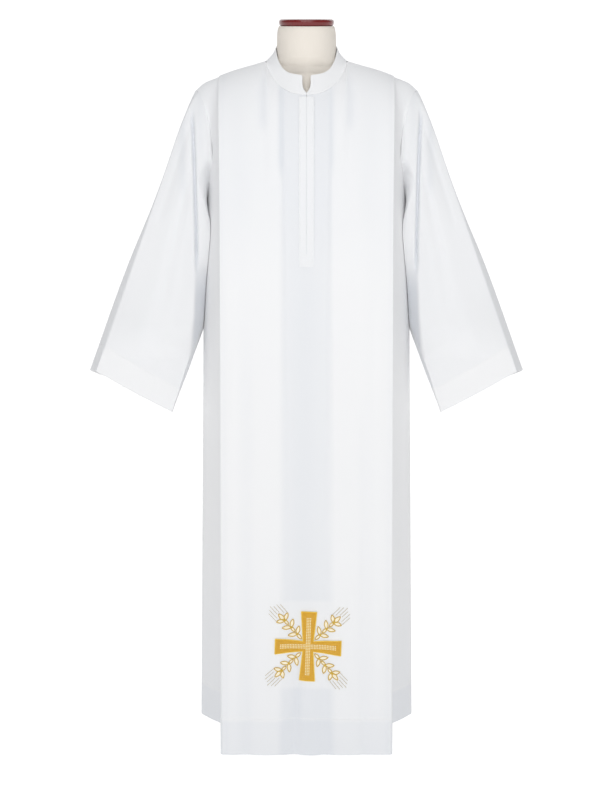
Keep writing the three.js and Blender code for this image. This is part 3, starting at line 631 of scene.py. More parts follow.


# ---- finishes ----
# the cool grey that painted shade darkens the cloth's colour towards
PAINTED_SHADE_TINT = (0.855, 0.875, 0.905, 1.0)


def sockets(tree, spec):
    """Adds a node group's named inputs and outputs."""
    for name, way, kind, default in spec:
        s = tree.interface.new_socket(name=name, in_out=way, socket_type=kind)
        if default is not None:
            s.default_value = default


def node(tree, kind, where=(0, 0), inputs=None, **values):
    """A shader node with its settings and unlinked inputs filled in."""
    n = tree.nodes.new(kind)
    n.location = where
    for key, value in values.items():
        setattr(n, key, value)
    for key, value in (inputs or {}).items():
        n.inputs[key].default_value = value
    return n


def maths(tree, operation, a, b=None, where=(0, 0)):
    """A Math node fed by links or numbers."""
    n = node(tree, "ShaderNodeMath", where, operation=operation)
    for i, value in enumerate((a, b)):
        if value is None:
            continue
        if isinstance(value, (int, float)):
            n.inputs[i].default_value = value
        else:
            tree.links.new(value, n.inputs[i])
    return n.outputs[0]


def weave_group():
    """Plain weave: warp and weft threads stand up in turn like a chequer, each thread's thickness wanders a
    little, and broad soft cloudiness shifts the colour. Painted shade, read from a point attribute, then
    darkens the colour towards a cool grey. Puts out colour, roughness and normal."""
    if "woven_cloth" in bpy.data.node_groups:
        return bpy.data.node_groups["woven_cloth"]
    g = bpy.data.node_groups.new("woven_cloth", "ShaderNodeTree")
    sockets(g, (("Color", "INPUT", "NodeSocketColor", (0.9, 0.9, 0.9, 1)),
                ("Shade", "INPUT", "NodeSocketColor", (0.8, 0.8, 0.8, 1)),
                ("Thread", "INPUT", "NodeSocketFloat", 0.0005), ("Relief", "INPUT", "NodeSocketFloat", 0.2),
                ("Slub", "INPUT", "NodeSocketFloat", 0.3), ("Clouding", "INPUT", "NodeSocketFloat", 0.3),
                ("Roughness", "INPUT", "NodeSocketFloat", 0.8),
                ("Color", "OUTPUT", "NodeSocketColor", None),
                ("Roughness", "OUTPUT", "NodeSocketFloat", None),
                ("Normal", "OUTPUT", "NodeSocketVector", None)))
    put = node(g, "NodeGroupInput", (-1200, 0)).outputs
    uv = node(g, "ShaderNodeUVMap", (-1200, -300), uv_map="UVMap").outputs[0]
    parts = node(g, "ShaderNodeSeparateXYZ", (-1000, -300))
    g.links.new(uv, parts.inputs[0])
    waves = []
    for axis in (0, 1):
        turns = maths(g, "DIVIDE", parts.outputs[axis], put["Thread"], (-820, -300 - 160 * axis))
        waves.append(maths(g, "SINE", maths(g, "MULTIPLY", turns, math.pi, (-660, -300 - 160 * axis)), None,
                           (-500, -300 - 160 * axis)))
    over = maths(g, "MULTIPLY", waves[0], waves[1], (-340, -360))
    stretched = node(g, "ShaderNodeMapping", (-820, -700), inputs={"Scale": (1, 0.05, 1)})
    g.links.new(uv, stretched.inputs["Vector"])
    slub = node(g, "ShaderNodeTexNoise", (-640, -700), inputs={"Scale": 900.0, "Detail": 2.0})
    g.links.new(stretched.outputs[0], slub.inputs["Vector"])
    slubbed = maths(g, "MULTIPLY", slub.outputs["Fac"], put["Slub"], (-340, -620))
    height = maths(g, "ADD", over, slubbed, (-180, -420))
    bump = node(g, "ShaderNodeBump", (40, -420), inputs={"Distance": 0.0003})
    g.links.new(put["Relief"], bump.inputs["Strength"])
    g.links.new(height, bump.inputs["Height"])
    where = node(g, "ShaderNodeTexCoord", (-1200, -900)).outputs["Object"]
    cloud = node(g, "ShaderNodeTexNoise", (-640, -960), inputs={"Scale": 5.0, "Detail": 3.0})
    g.links.new(where, cloud.inputs["Vector"])
    clouds = maths(g, "MULTIPLY", cloud.outputs["Fac"], put["Clouding"], (-340, -900))
    tone = maths(g, "ADD", clouds, maths(g, "MULTIPLY", slubbed, 0.6, (-340, -780)), (-180, -820))
    blend = node(g, "ShaderNodeMix", (40, 0), data_type="RGBA")
    g.links.new(tone, blend.inputs["Factor"])
    g.links.new(put["Color"], blend.inputs["A"])
    g.links.new(put["Shade"], blend.inputs["B"])
    rough = maths(g, "ADD", put["Roughness"], maths(g, "MULTIPLY", over, 0.04, (-180, -160)), (40, -200))
    # painted shade: a point attribute, from 0 to 1, darkens the colour towards that grey
    painted_shade_amount = node(g, "ShaderNodeAttribute", (-180, 260), attribute_name="painted_shade").outputs["Fac"]
    dim = node(g, "ShaderNodeMix", (120, 220), data_type="RGBA", blend_type="MULTIPLY",
               inputs={"B": PAINTED_SHADE_TINT})
    g.links.new(painted_shade_amount, dim.inputs["Factor"])
    g.links.new(blend.outputs["Result"], dim.inputs["A"])
    out = node(g, "NodeGroupOutput", (300, 0))
    g.links.new(dim.outputs["Result"], out.inputs["Color"])
    g.links.new(rough, out.inputs["Roughness"])
    g.links.new(bump.outputs[0], out.inputs["Normal"])
    return g


def satin_group():
    """Satin stitch: fine parallel threads along one direction of the surface, with every few standing
    prouder."""
    if "satin_thread" in bpy.data.node_groups:
        return bpy.data.node_groups["satin_thread"]
    g = bpy.data.node_groups.new("satin_thread", "ShaderNodeTree")
    sockets(g, (("Color", "INPUT", "NodeSocketColor", (0.8, 0.5, 0.1, 1)),
                ("Shade", "INPUT", "NodeSocketColor", (0.5, 0.3, 0.05, 1)),
                ("Thread", "INPUT", "NodeSocketFloat", 0.0005), ("Relief", "INPUT", "NodeSocketFloat", 0.6),
                ("Color", "OUTPUT", "NodeSocketColor", None), ("Normal", "OUTPUT", "NodeSocketVector", None)))
    put = node(g, "NodeGroupInput", (-900, 0)).outputs
    uv = node(g, "ShaderNodeUVMap", (-900, -300), uv_map="UVMap").outputs[0]
    parts = node(g, "ShaderNodeSeparateXYZ", (-720, -300))
    g.links.new(uv, parts.inputs[0])
    turns = maths(g, "DIVIDE", parts.outputs[1], put["Thread"], (-540, -300))
    wave = maths(g, "SINE", maths(g, "MULTIPLY", turns, 2 * math.pi, (-380, -300)), None, (-220, -300))
    stretched = node(g, "ShaderNodeMapping", (-720, -560), inputs={"Scale": (0.1, 1, 1)})
    g.links.new(uv, stretched.inputs["Vector"])
    uneven = node(g, "ShaderNodeTexNoise", (-540, -560), inputs={"Scale": 700.0, "Detail": 2.0})
    g.links.new(stretched.outputs[0], uneven.inputs["Vector"])
    height = maths(g, "ADD", wave, maths(g, "MULTIPLY", uneven.outputs["Fac"], 1.5, (-220, -520)),
                   (-60, -360))
    bump = node(g, "ShaderNodeBump", (120, -360), inputs={"Distance": 0.0003})
    g.links.new(put["Relief"], bump.inputs["Strength"])
    g.links.new(height, bump.inputs["Height"])
    blend = node(g, "ShaderNodeMix", (120, 0), data_type="RGBA")
    g.links.new(uneven.outputs["Fac"], blend.inputs["Factor"])
    g.links.new(put["Color"], blend.inputs["A"])
    g.links.new(put["Shade"], blend.inputs["B"])
    out = node(g, "NodeGroupOutput", (340, 0))
    g.links.new(blend.outputs["Result"], out.inputs["Color"])
    g.links.new(bump.outputs[0], out.inputs["Normal"])
    return g


def new_material(name, **plain):
    """An empty Principled material, with constant values set straight on the shader."""
    m = bpy.data.materials.new(name)
    m.use_nodes = True
    shader = m.node_tree.nodes["Principled BSDF"]
    for key, value in plain.items():
        shader.inputs[key.replace("_", " ")].default_value = value
    return m, m.node_tree, shader


def tint(rgb, by):
    """A colour multiplied."""
    return tuple(c * k for c, k in zip(rgb, by)) + (1.0,)


def woven(name, rgb, shade, thread, relief, slub, clouding, rough, sheen):
    """A woven cloth finish."""
    if name in bpy.data.materials:
        return bpy.data.materials[name]
    m, tree, shader = new_material(name, Sheen_Weight=sheen, Sheen_Roughness=0.5, Specular_IOR_Level=0.2)
    g = node(tree, "ShaderNodeGroup", (-320, 0), node_tree=weave_group())
    for key, value in (
        ("Color", tuple(rgb) + (1.0,)), ("Shade", tint(rgb, shade)), ("Thread", thread), ("Relief", relief),
        ("Slub", slub), ("Clouding", clouding), ("Roughness", rough),
    ):
        g.inputs[key].default_value = value
    tree.links.new(g.outputs["Color"], shader.inputs["Base Color"])
    tree.links.new(g.outputs["Roughness"], shader.inputs["Roughness"])
    tree.links.new(g.outputs["Normal"], shader.inputs["Normal"])
    return m


def satin(name, rgb, shade, thread, relief, rough):
    """An embroidery thread finish."""
    if name in bpy.data.materials:
        return bpy.data.materials[name]
    m, tree, shader = new_material(name, Roughness=rough, Sheen_Weight=0.1, Specular_IOR_Level=0.4)
    g = node(tree, "ShaderNodeGroup", (-320, 0), node_tree=satin_group())
    for key, value in (("Color", tuple(rgb) + (1.0,)), ("Shade", tint(rgb, shade)), ("Thread", thread),
                       ("Relief", relief)):
        g.inputs[key].default_value = value
    tree.links.new(g.outputs["Color"], shader.inputs["Base Color"])
    tree.links.new(g.outputs["Normal"], shader.inputs["Normal"])
    return m


def hard(name, rgb, rough, metallic, coat, streak, scale, lathe=False):
    """A lacquered, painted or brushed finish: the roughness and the colour wander over the surface, and on
    turned metal they run round it."""
    if name in bpy.data.materials:
        return bpy.data.materials[name]
    m, tree, shader = new_material(name, Metallic=metallic, Coat_Weight=coat, Coat_Roughness=0.06)
    where = node(tree, "ShaderNodeTexCoord", (-1000, 0)).outputs["Object"]
    mapping = node(tree, "ShaderNodeMapping", (-820, 0),
                   inputs={"Scale": (0.2, 0.2, 6.0) if lathe else (1, 1, 1)})
    noise = node(tree, "ShaderNodeTexNoise", (-640, 0), inputs={"Scale": scale, "Detail": 4.0})
    tree.links.new(where, mapping.inputs["Vector"])
    tree.links.new(mapping.outputs[0], noise.inputs["Vector"])
    blend = node(tree, "ShaderNodeMix", (-300, 120), data_type="RGBA")
    blend.inputs["A"].default_value = tuple(rgb) + (1.0,)
    blend.inputs["B"].default_value = tint(rgb, (0.6, 0.6, 0.6))
    tree.links.new(maths(tree, "MULTIPLY", noise.outputs["Fac"], streak, (-460, 120)), blend.inputs["Factor"])
    tree.links.new(blend.outputs["Result"], shader.inputs["Base Color"])
    rough_out = maths(tree, "ADD", maths(tree, "MULTIPLY", noise.outputs["Fac"], 0.15, (-460, -80)), rough,
                      (-300, -80))
    tree.links.new(rough_out, shader.inputs["Roughness"])
    bump = node(tree, "ShaderNodeBump", (-300, -260), inputs={"Strength": 0.08, "Distance": 0.0005})
    tree.links.new(noise.outputs["Fac"], bump.inputs["Height"])
    tree.links.new(bump.outputs[0], shader.inputs["Normal"])
    return m


def robe_cloth():
    """The robe's plain white weave."""
    s = bpy.context.scene.alb_finish
    return woven("white_cloth", s.robe_color, (0.95, 0.965, 0.985), s.robe_thread * MM, 0.12, 0.2, 0.35, 0.82,
                 0.12)


def seam_thread():
    """The white thread of the seams."""
    s = bpy.context.scene.alb_finish
    return satin("white_thread", s.robe_color, (0.93, 0.94, 0.96), 0.0004, 0.3, 0.6)


def linen():
    """The coarse undyed weave that covers the form."""
    s = bpy.context.scene.alb_finish
    return woven("natural_linen", s.form_color, (0.9, 0.875, 0.83), 0.0011, 0.5, 0.8, 0.25, 0.88, 0.05)


# ---- what a user would change ----
class AlbShape(bpy.types.PropertyGroup):
    """Sizes of the sewn details."""

    stitch_pitch: bpy.props.FloatProperty(
        name="Stitch pitch", description="Distance between hem stitches, in millimetres",
        default=3.6, min=1, max=10)
    hem_deep: bpy.props.FloatProperty(
        name="Hem depth", description="Depth of the turned-up hem, in millimetres",
        default=85.0, min=20, max=120)
    cuff_line: bpy.props.FloatProperty(
        name="Cuff hem", description="Where the cuff's hem is sewn, as a share of the sleeve from the armhole",
        default=0.905, min=0.7, max=0.99)
    cross_scale: bpy.props.FloatProperty(
        name="Embroidery size", description="Size of the embroidery against its usual size",
        default=1.0, min=0.5, max=1.3, subtype="FACTOR")
    dot_pitch: bpy.props.FloatProperty(
        name="Open stitch pitch", description="Distance between the cross's light stitches, in millimetres",
        default=3.6, min=2, max=9)


class AlbFinish(bpy.types.PropertyGroup):
    """Colours and thread sizes."""

    robe_color: bpy.props.FloatVectorProperty(
        name="Robe", description="Colour of the robe's cloth",
        subtype="COLOR", size=3, min=0, max=1, default=(0.868, 0.866, 0.868))
    robe_thread: bpy.props.FloatProperty(
        name="Robe thread", description="Thread spacing of the robe's cloth, in millimetres",
        default=0.6, min=0.2, max=3)
    gold_color: bpy.props.FloatVectorProperty(
        name="Gold thread", description="Colour of the embroidery thread",
        subtype="COLOR", size=3, min=0, max=1, default=(0.93, 0.52, 0.045))
    form_color: bpy.props.FloatVectorProperty(
        name="Dress form", description="Colour of the form's linen",
        subtype="COLOR", size=3, min=0, max=1, default=(0.85, 0.80, 0.735))
    cap_color: bpy.props.FloatVectorProperty(
        name="Neck cap", description="Colour of the lacquered cap",
        subtype="COLOR", size=3, min=0, max=1, default=(0.19, 0.003, 0.004))


class AlbStage(bpy.types.PropertyGroup):
    """Light and camera."""

    key_power: bpy.props.FloatProperty(
        name="Front light", description="Power of each big soft front light, in watts",
        default=40.0, min=0)
    sky: bpy.props.FloatProperty(
        name="Surrounding light", description="Brightness of the white surroundings",
        default=0.31, min=0)
    camera_back: bpy.props.FloatProperty(
        name="Camera distance", description="Distance of the camera in front of the stand",
        default=3.815, min=1, subtype="DISTANCE", unit="LENGTH")
    camera_high: bpy.props.FloatProperty(
        name="Camera height", description="Height of the camera above the floor",
        default=1.686, min=0, subtype="DISTANCE", unit="LENGTH")
    camera_down: bpy.props.FloatProperty(
        name="Camera tilt", description="How far the camera looks down",
        default=math.radians(13), subtype="ANGLE", unit="ROTATION")
    lens: bpy.props.FloatProperty(
        name="Lens", description="Focal length for a 36 mm frame height, in millimetres",
        default=77.1, min=10)


# ---- the pieces ----
# where the middle band's painted shade is mostly left off, behind the embroidery: its low end and its high end
BAND_SHADE_BREAK = (188.0, 382.0)
# how far from the middle the band's edge, the collar's foot and the front pleat's edge are shaded
BAND_EDGE, COLLAR_EDGE, PLEAT_EDGE = 55, 92, 181
# how far from the middle the two soft valleys of a sleeve's upper front are shaded, at its outer side and
# its inner
SLEEVE_VALLEYS = ((271, 9, (1310, 1430, 50), 0.34), (232, 8, (1400, 1480, 60), 0.20))


def body_painted_shade(piece, grid, folds, facing, hem):
    """Painted shade on the body's cloth at each point, from 0 to 1: most in the middle band, which lies as
    one layer and is darker partly for the dark inside showing through and partly as painted shade of its
    recess, with edges that are crisper near the neck, and the band is fainter behind the embroidery. More
    painted shade is laid in each trough, towards the hem, beside the collar, on the upper chest and under
    the pleats' edges, and a painted highlight runs along the hem's stitched line."""
    x, z = grid[..., 0], grid[..., 2]
    low = 1 - np.clip((z - HEM_Z) / 520, 0, 1)
    soft = mix(4.0, 11.0, np.clip((1430 - z) / 700, 0, 1))
    # the middle band: darker partly for the one layer showing the dark inside, partly as painted shade of its
    # recess; less of it behind the embroidery
    band = ease((mix(54, 60, low) - np.abs(x)) / soft * 0.5 + 0.5)
    if piece["side"] < 0:
        band *= 1 - 0.7 * window(z, *BAND_SHADE_BREAK, 8)
    # painted shadow along the band's edges near the neck
    near_edge = bell(np.abs(x), BAND_EDGE, 6) * window(z, 1370, 1490, 60) * np.where(x < 0, 0.75, 0.4)
    middle = x.shape[1] // 2
    front = np.abs(np.arange(x.shape[1]) - middle + 0.5) < facing
    # painted shade in the folds' troughs, beside the collar's foot, on the upper chest and growing towards the
    # hem
    trough = np.clip(-folds_at(folds, x, z) / 3.2, -0.3, 1) * 0.22
    collar_shade = bell(np.abs(x), COLLAR_EDGE, 9) * window(z, 1455, 1510, 45) * 0.35
    chest = 0.17 * window(z, 1260, 1600, 160)
    painted_shade = 0.06 + mix(0.40, 0.52, low) * band + near_edge + trough + collar_shade + chest + 0.34 * low**1.5
    # on the sides, painted shade growing towards the hem and a little higher up
    painted_shade = np.where(front[None], painted_shade, 0.05 + 0.5 * low**2 + 0.15 * window(z, 1290, 1560, 80))
    # painted shade on the turned-up hem band, and a painted highlight along the hem's stitched top line
    painted_shade += np.where(z < HEM_Z + hem, 0.24, 0.0) - 0.4 * bell(z - HEM_Z, hem, 2.5)
    # painted shade beside the front pleats' folded edges
    pleat = bell(np.abs(x), PLEAT_EDGE, 5) * front[None] * 0.12
    return painted_shade + pleat


class ALB_OT_body(bpy.types.Operator):
    """Front and back of the robe, each one pleated panel that reaches over the shoulder."""

    bl_idname = "alb.body"
    bl_label = "Front and back"

    def execute(self, context):
        cloth = robe_cloth()
        hem = context.scene.alb_shape.hem_deep
        for name, piece, folds, node_name in (
            ("robe_front", FRONT, FRONT_FOLDS, "front"),
            ("robe_back", BACK, BACK_FOLDS, "back"),
        ):
            grid, facing = body_grid(piece, folds)
            height = grid[:, grid.shape[1] // 2, 2]
            thick = np.where(height < HEM_Z + hem, HEM_CLOTH, CLOTH)
            keep = np.ones((grid.shape[0] - 1, grid.shape[1] - 1), bool)
            if piece is FRONT:
                keep[height[:-1] > PLACKET["slit"] + 36, grid.shape[1] // 2 - 1] = False
            obj = shell(name, grid, thick, keep=keep, material=cloth,
                        painted_shade=body_painted_shade(piece, grid, folds, facing, hem))
            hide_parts(node_name)
            MADE[name] = (obj, grid)
        return {"FINISHED"}


def sleeve_painted_shade(grid, along, cuff):
    """Painted shade on a sleeve at each point, from 0 to 1: least on the doubled cuff, more on the outer
    fold. Painted shade is laid in two valleys of the upper front, in the crease beside the ridge, on the
    pressed panel inside it, and on the inner face under the arm."""
    x, z = np.abs(grid[..., 0]), grid[..., 2]
    n, m = SLEEVE_COLUMNS["front"], SLEEVE_COLUMNS["outer"]
    column = np.arange(grid.shape[1])
    if grid[0, 0, 0] < 0:
        column = column[::-1]
    # painted shade over the whole sleeve, a little more near the shoulder, and more in two valleys of the
    # upper front
    painted_shade = 0.20 + 0.05 * window(z, 1340, 1560, 160)
    for middle, wide, span, depth in SLEEVE_VALLEYS:
        painted_shade += depth * bell(x, middle, wide) * window(z, *span) * (column < n)[None]
    # painted shade on the outer face, which turns away from the front
    painted_shade = np.where(((column >= n) & (column < n + m))[None], 0.35, painted_shade)
    # painted shade in the crease beside the ridge and on the pressed panel inside it
    off = x - curve(SLEEVE_RIDGE, z)
    crease = bell(off, RIDGE_GROOVE["off"], 4) * window(z, 1140, 1430, 50)
    pressed = ease(-off / 6) * ease((1150 - z) / 110) * window(z, 930, 1300, 20)
    painted_shade += (0.9 * crease + 0.95 * pressed) * (column < n)[None]
    # painted shade on the inner face, growing low down and close beside its front corner under the arm
    turn = (column - n - m - SLEEVE_COLUMNS["back"]) / SLEEVE_COLUMNS["inner"]
    under = mix(0.0, 0.5, ease((1150 - z) / 120))
    under = under + np.exp(-(1 - turn) / 0.06)[None] * window(z, 1130, 1300, 60)
    painted_shade = np.where((turn >= 0)[None], under, painted_shade)
    # no painted shade on the doubled cuff, save on its outer face
    return np.where((along > cuff)[:, None] & ((column < n) | (column >= n + m))[None], 0.0, painted_shade)


class ALB_OT_sleeves(bpy.types.Operator):
    """Two wide sleeves with pressed creases and turned-up cuffs."""

    bl_idname = "alb.sleeves"
    bl_label = "Sleeves"

    def execute(self, context):
        grid, along = sleeve_grid()
        thick = np.where(along > context.scene.alb_shape.cuff_line, HEM_CLOTH, CLOTH)
        for name, shape, node_name in (("robe_sleeve_left", grid, "sleeve_left"),
                                       ("robe_sleeve_right", mirrored(grid), "sleeve_right")):
            painted_shade = sleeve_painted_shade(shape, along, context.scene.alb_shape.cuff_line)
            obj = shell(name, shape, thick, closed=True, sharp=60, material=robe_cloth(), painted_shade=painted_shade)
            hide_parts(node_name)
            MADE[name] = (obj, shape)
        MADE["sleeve_along"] = along
        return {"FINISHED"}


def collar_grid():
    """The stand collar: rows rise from the neckline to the smaller top ring, and the ends part in a
    keyhole."""
    up = np.linspace(0, 1, 25)[:, None]
    gap = curve(NOTCH, up[:, 0])[:, None]
    start = np.degrees(np.arcsin(gap / mix(NECK["half"], COLLAR_TOP["half"], up)))
    angle = mix(start, 360 - start, np.linspace(0, 1, 221)[None])
    folded = np.where(angle > 180, 360 - angle, angle)
    low = neck_point(NECK, angle, curve(NECK_SEAM, folded) + SEAM_GAP)
    grid = mix(low, neck_point(COLLAR_TOP, angle, curve(NECK_TOP, folded)), up[..., None])
    hollow = 3.4 * np.sin(np.pi * up) * np.sin(np.radians(folded)) ** 2
    grid[..., 0] -= np.sign(grid[..., 0]) * hollow
    allowance = grid[0] * (0.97, 0.97, 1) - (0, 0, 3.0)
    return np.concatenate([allowance[None], grid])


class ALB_OT_collar(bpy.types.Operator):
    """Stand collar with a keyhole notch at the front."""

    bl_idname = "alb.collar"
    bl_label = "Collar"

    def execute(self, context):
        grid = collar_grid()
        # painted shade on the collar, a little more half way up than at its foot and top
        edge = np.abs(np.linspace(-1, 1, len(grid)))[:, None]
        obj = shell("robe_collar", grid, COLLAR_CLOTH, material=robe_cloth(),
                    painted_shade=0.08 + 0.08 * (1 - edge**4))
        bevel = obj.modifiers.new("soft_edge", "BEVEL")
        bevel.width, bevel.segments = 0.7 * MM, 3
        bevel.limit_method, bevel.angle_limit = "ANGLE", math.radians(50)
        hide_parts("collar")
        MADE["robe_collar"] = (obj, grid)
        return {"FINISHED"}


PLACKET_CLOTH = 0.7
PLACKET_OFF = 1.1  # how far the placket's outer face stands off the front's at its edges
PUCKER_PITCH = 9.0  # between the small puckers along the placket's stitches
COIL_PITCH, COIL_RADIUS = 1.5, 0.45
COIL_TEETH = (-0.5, 2.4)  # how far each tooth reaches across the middle and to its own side


def middle_front():
    """The line down the middle of the front's outer face, low to high, and its outward direction."""
    grid = MADE["robe_front"][1]
    c = grid.shape[1] // 2
    line = (grid[:, c - 1] + grid[:, c]) / 2
    step = np.gradient(line, axis=0)
    out = np.stack([0 * step[:, 0], -step[:, 2], step[:, 1]], -1)
    return line, out / np.linalg.norm(out, axis=1)[:, None]


def on_middle(x, z, off):
    """Points near the middle front, a distance off its outer face."""
    line, out = middle_front()
    pick = lambda values: np.interp(z, line[:, 2], values)
    base = np.stack(np.broadcast_arrays(x, pick(line[:, 1]), z), -1)
    away = np.stack(np.broadcast_arrays(0 * x, pick(out[:, 1]), pick(out[:, 2])), -1)
    return base + away * np.asarray(off)[..., None], away


class ALB_OT_zip(bpy.types.Operator):
    """The placket that covers the zip, in two flaps joined below the slit, and the zip tape behind it."""

    bl_idname = "alb.zip"
    bl_label = "Placket and zip"

    def execute(self, context):
        half = PLACKET["half"]
        flap = np.linspace(0.06, half, 18)
        x = np.concatenate([-flap[::-1], flap])
        z = np.linspace(PLACKET["low"], PLACKET["high"], 190)
        xx, zz = np.meshgrid(x, z)
        edge = np.clip((half - np.abs(xx)) / 1.2, 0, 1)
        lip = np.where(zz > PLACKET["slit"], bell(xx, 0, 1.1), 0)
        ripple = np.sin(zz / PUCKER_PITCH * 2 * math.pi + 0.8 * np.sin(zz / 31))
        pucker = 0.22 * ripple * bell(half - np.abs(xx), 3.2, 2.4)
        off = PLACKET_OFF + 0.5 * ease(edge) - 0.45 * lip + pucker
        off += np.where(xx > 0, 0.3, 0) * window(zz, 1180, 1480, 30)
        grid, _ = on_middle(xx, zz, off)
        keep = np.ones((len(z) - 1, len(x) - 1), bool)
        keep[z[:-1] > PLACKET["slit"], len(flap) - 1] = False
        # painted shade on the placket, more along the slit's lips
        obj = shell("robe_zip_placket", grid, PLACKET_CLOTH, keep=keep, material=robe_cloth(),
                    painted_shade=0.30 + 0.2 * lip)
        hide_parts("zip_placket")
        MADE["robe_zip_placket"] = (obj, grid)
        x = np.linspace(-ZIP["half"], ZIP["half"], 13)
        z = np.linspace(ZIP["low"], ZIP["high"], 120)
        xx, zz = np.meshgrid(x, z)
        behind = -(CLOTH + ZIP["behind"])
        grid, _ = on_middle(xx, zz, np.full(xx.shape, behind))
        tape = shell("robe_zip_tape", grid, ZIP["thick"], material=robe_cloth())
        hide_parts("zip_tape")
        z = np.arange(ZIP["low"] + 4, ZIP["high"] - 6, COIL_PITCH)
        side = np.where(np.arange(len(z)) % 2 == 0, 1.0, -1.0)
        reach = np.array(COIL_TEETH)[None] * side[:, None]
        ends, away = on_middle(reach, np.broadcast_to(z[:, None], reach.shape),
                               np.full(reach.shape, behind + 0.25))
        points, faces = tube(ends, COIL_RADIUS, away, 5)
        mesh_object("zip_coil", points, faces, sharp=50,
                    material=hard("zip_nylon", (0.82, 0.83, 0.85), 0.35, 0.0, 0.1, 0.2, 200.0))
        MADE["robe_zip_tape"] = (tape, grid)
        return {"FINISHED"}


# pitch, length, width and height of the fine stitches on the collar and the placket
FINE_STITCH = (2.6, 1.9, 0.4, 0.25)


def fine_row(grid, normal, *at):
    """A row of fine stitches on part of a grid."""
    return stitches(grid[at] + normal[at] * 0.05, normal[at], *FINE_STITCH)


class ALB_OT_stitching(bpy.types.Operator):
    """Rows of stitches at the hem, the cuffs, the collar and the placket."""

    bl_idname = "alb.stitching"
    bl_label = "Stitching"

    def execute(self, context):
        shape = context.scene.alb_shape
        rows = []
        for name in ("robe_front", "robe_back"):
            grid = MADE[name][1]
            normal = normals_of(grid, False)
            r = int(np.argmin(np.abs(grid[:, grid.shape[1] // 2, 2] - HEM_Z - shape.hem_deep)))
            rows.append(stitches(grid[r] + normal[r] * 0.1, normal[r], shape.stitch_pitch))
        for name in ("robe_sleeve_left", "robe_sleeve_right"):
            grid = MADE[name][1]
            normal = normals_of(grid, True)
            r = int(np.argmin(np.abs(MADE["sleeve_along"] - shape.cuff_line)))
            ring, out = (np.concatenate([row, row[:1]]) for row in (grid[r], normal[r]))
            rows.append(stitches(ring + 0.1 * out, out, shape.stitch_pitch))
        points, faces = joined(rows)
        mesh_object("hem_stitches", points, faces, material=seam_thread())
        grid = MADE["robe_collar"][1]
        normal = normals_of(grid, False)
        rows = [fine_row(grid, normal, r) for r in (4, 23)]
        rows += [fine_row(grid, normal, slice(4, 23), c) for c in (3, -4)]
        points, faces = joined(rows)
        mesh_object("collar_stitches", points, faces, material=seam_thread())
        grid = MADE["robe_zip_placket"][1]
        normal = normals_of(grid, False)
        rows = [fine_row(grid, normal, slice(4, None), c) for c in (3, -4)]
        rows += [fine_row(grid, normal, r, slice(3, -3)) for r in (4, 12)]
        points, faces = joined(rows)
        mesh_object("placket_stitches", points, faces, material=seam_thread())
        return {"FINISHED"}


# ---- embroidery ----
def laid(u, v, off, scale):
    """Design coordinates, tilted a little, laid on the front a distance off its face."""
    a = math.radians(CROSS["tilt"])
    u, v = np.asarray(u, float) * scale, np.asarray(v, float) * scale
    x = CROSS["x"] + u * math.cos(a) + v * math.sin(a)
    z = CROSS["z"] - u * math.sin(a) + v * math.cos(a)
    return np.stack(np.broadcast_arrays(x, front_y(x, z) - off, z), -1)


OUTWARD = np.array([0.0, -1.0, 0.0])


def flared_bar(upright, scale):
    """One bar of the cross: rows along it, columns across it, narrowest in the middle, slightly padded."""
    half = CROSS["tall"] if upright else CROSS["half"]
    t = np.linspace(-1, 1, 81)[:, None]
    across = np.linspace(-1, 1, 17)[None]
    width = CROSS["waist"] + CROSS["flare"] * np.abs(t)
    pad = 1.3 + 0.5 * (1 - across**4) * (1 - t**12) + (0.12 if upright else 0.0)
    if upright:
        return laid(width * across, half * t + 0 * across, pad, scale)
    return laid((half * t + 0 * across).T, (width * across).T, pad.T, scale)


def cross_outline(scale):
    """The outline of the two flared bars together, as one closed line."""
    w, f, h, tall = CROSS["waist"], CROSS["flare"], CROSS["half"], CROSS["tall"]
    inner = w + f * w / tall
    corners = [
        (inner, inner), (w + f, tall), (-w - f, tall), (-inner, inner), (-h, w + f), (-h, -w - f),
        (-inner, -inner), (-w - f, -tall), (w + f, -tall), (inner, -inner), (h, -w - f), (h, w + f),
    ]
    points = []
    for (x0, y0), (x1, y1) in zip(corners, corners[1:] + corners[:1]):
        t = np.linspace(0, 1, 24, endpoint=False)
        points.append(np.stack([mix(x0, x1, t), mix(y0, y1, t)], -1))
    uv = np.concatenate(points)
    return laid(uv[:, 0], uv[:, 1], 1.35, scale)


def pads(centres, half_u, half_v, off, high, scale):
    """Small raised light stitches: each a 5 by 5 grid, domed in the middle."""
    t = np.linspace(-1, 1, 5)
    du, dv = np.meshgrid(t, t)
    u = centres[:, 0, None, None] + du * half_u
    v = centres[:, 1, None, None] + dv * half_v
    dome = off + high * (1 - du**2) * (1 - dv**2)
    points = laid(u, v, np.broadcast_to(dome, u.shape), scale).reshape(-1, 3)
    quads = quads_of(5, 5, False)[0].reshape(-1, 4)
    return points, (quads[None] + np.arange(len(centres))[:, None, None] * 25).reshape(-1, 4).tolist()


# along the ear from the cross's middle, angle off the ear's own line, length, width
EAR_LEAVES = (
    (38, 180, 15.5, 6.6), (38, 58, 20, 8.2), (38, -55, 19, 8.2),
    (58.5, 180, 13.5, 6), (58.5, 51, 20, 8.2), (58.5, -54, 19.5, 8.2),
    (80.5, 180, 13.5, 6), (80.5, 57, 18.5, 8.2), (80.5, -62, 18.5, 8.2), (80.5, 0, 21, 8.6),
)
# off the ear's line, start and end along it
EAR_AWNS = ((-16.3, 91, 115), (-10.5, 95, 121), (-3.5, 103, 122), (2.5, 103, 127), (9, 96, 122),
            (14.8, 93, 116.5))
EAR_NODES = (38, 58.5, 80.5)
EAR_ANGLES = (46.5, 132.3, 224.5, 313.2)


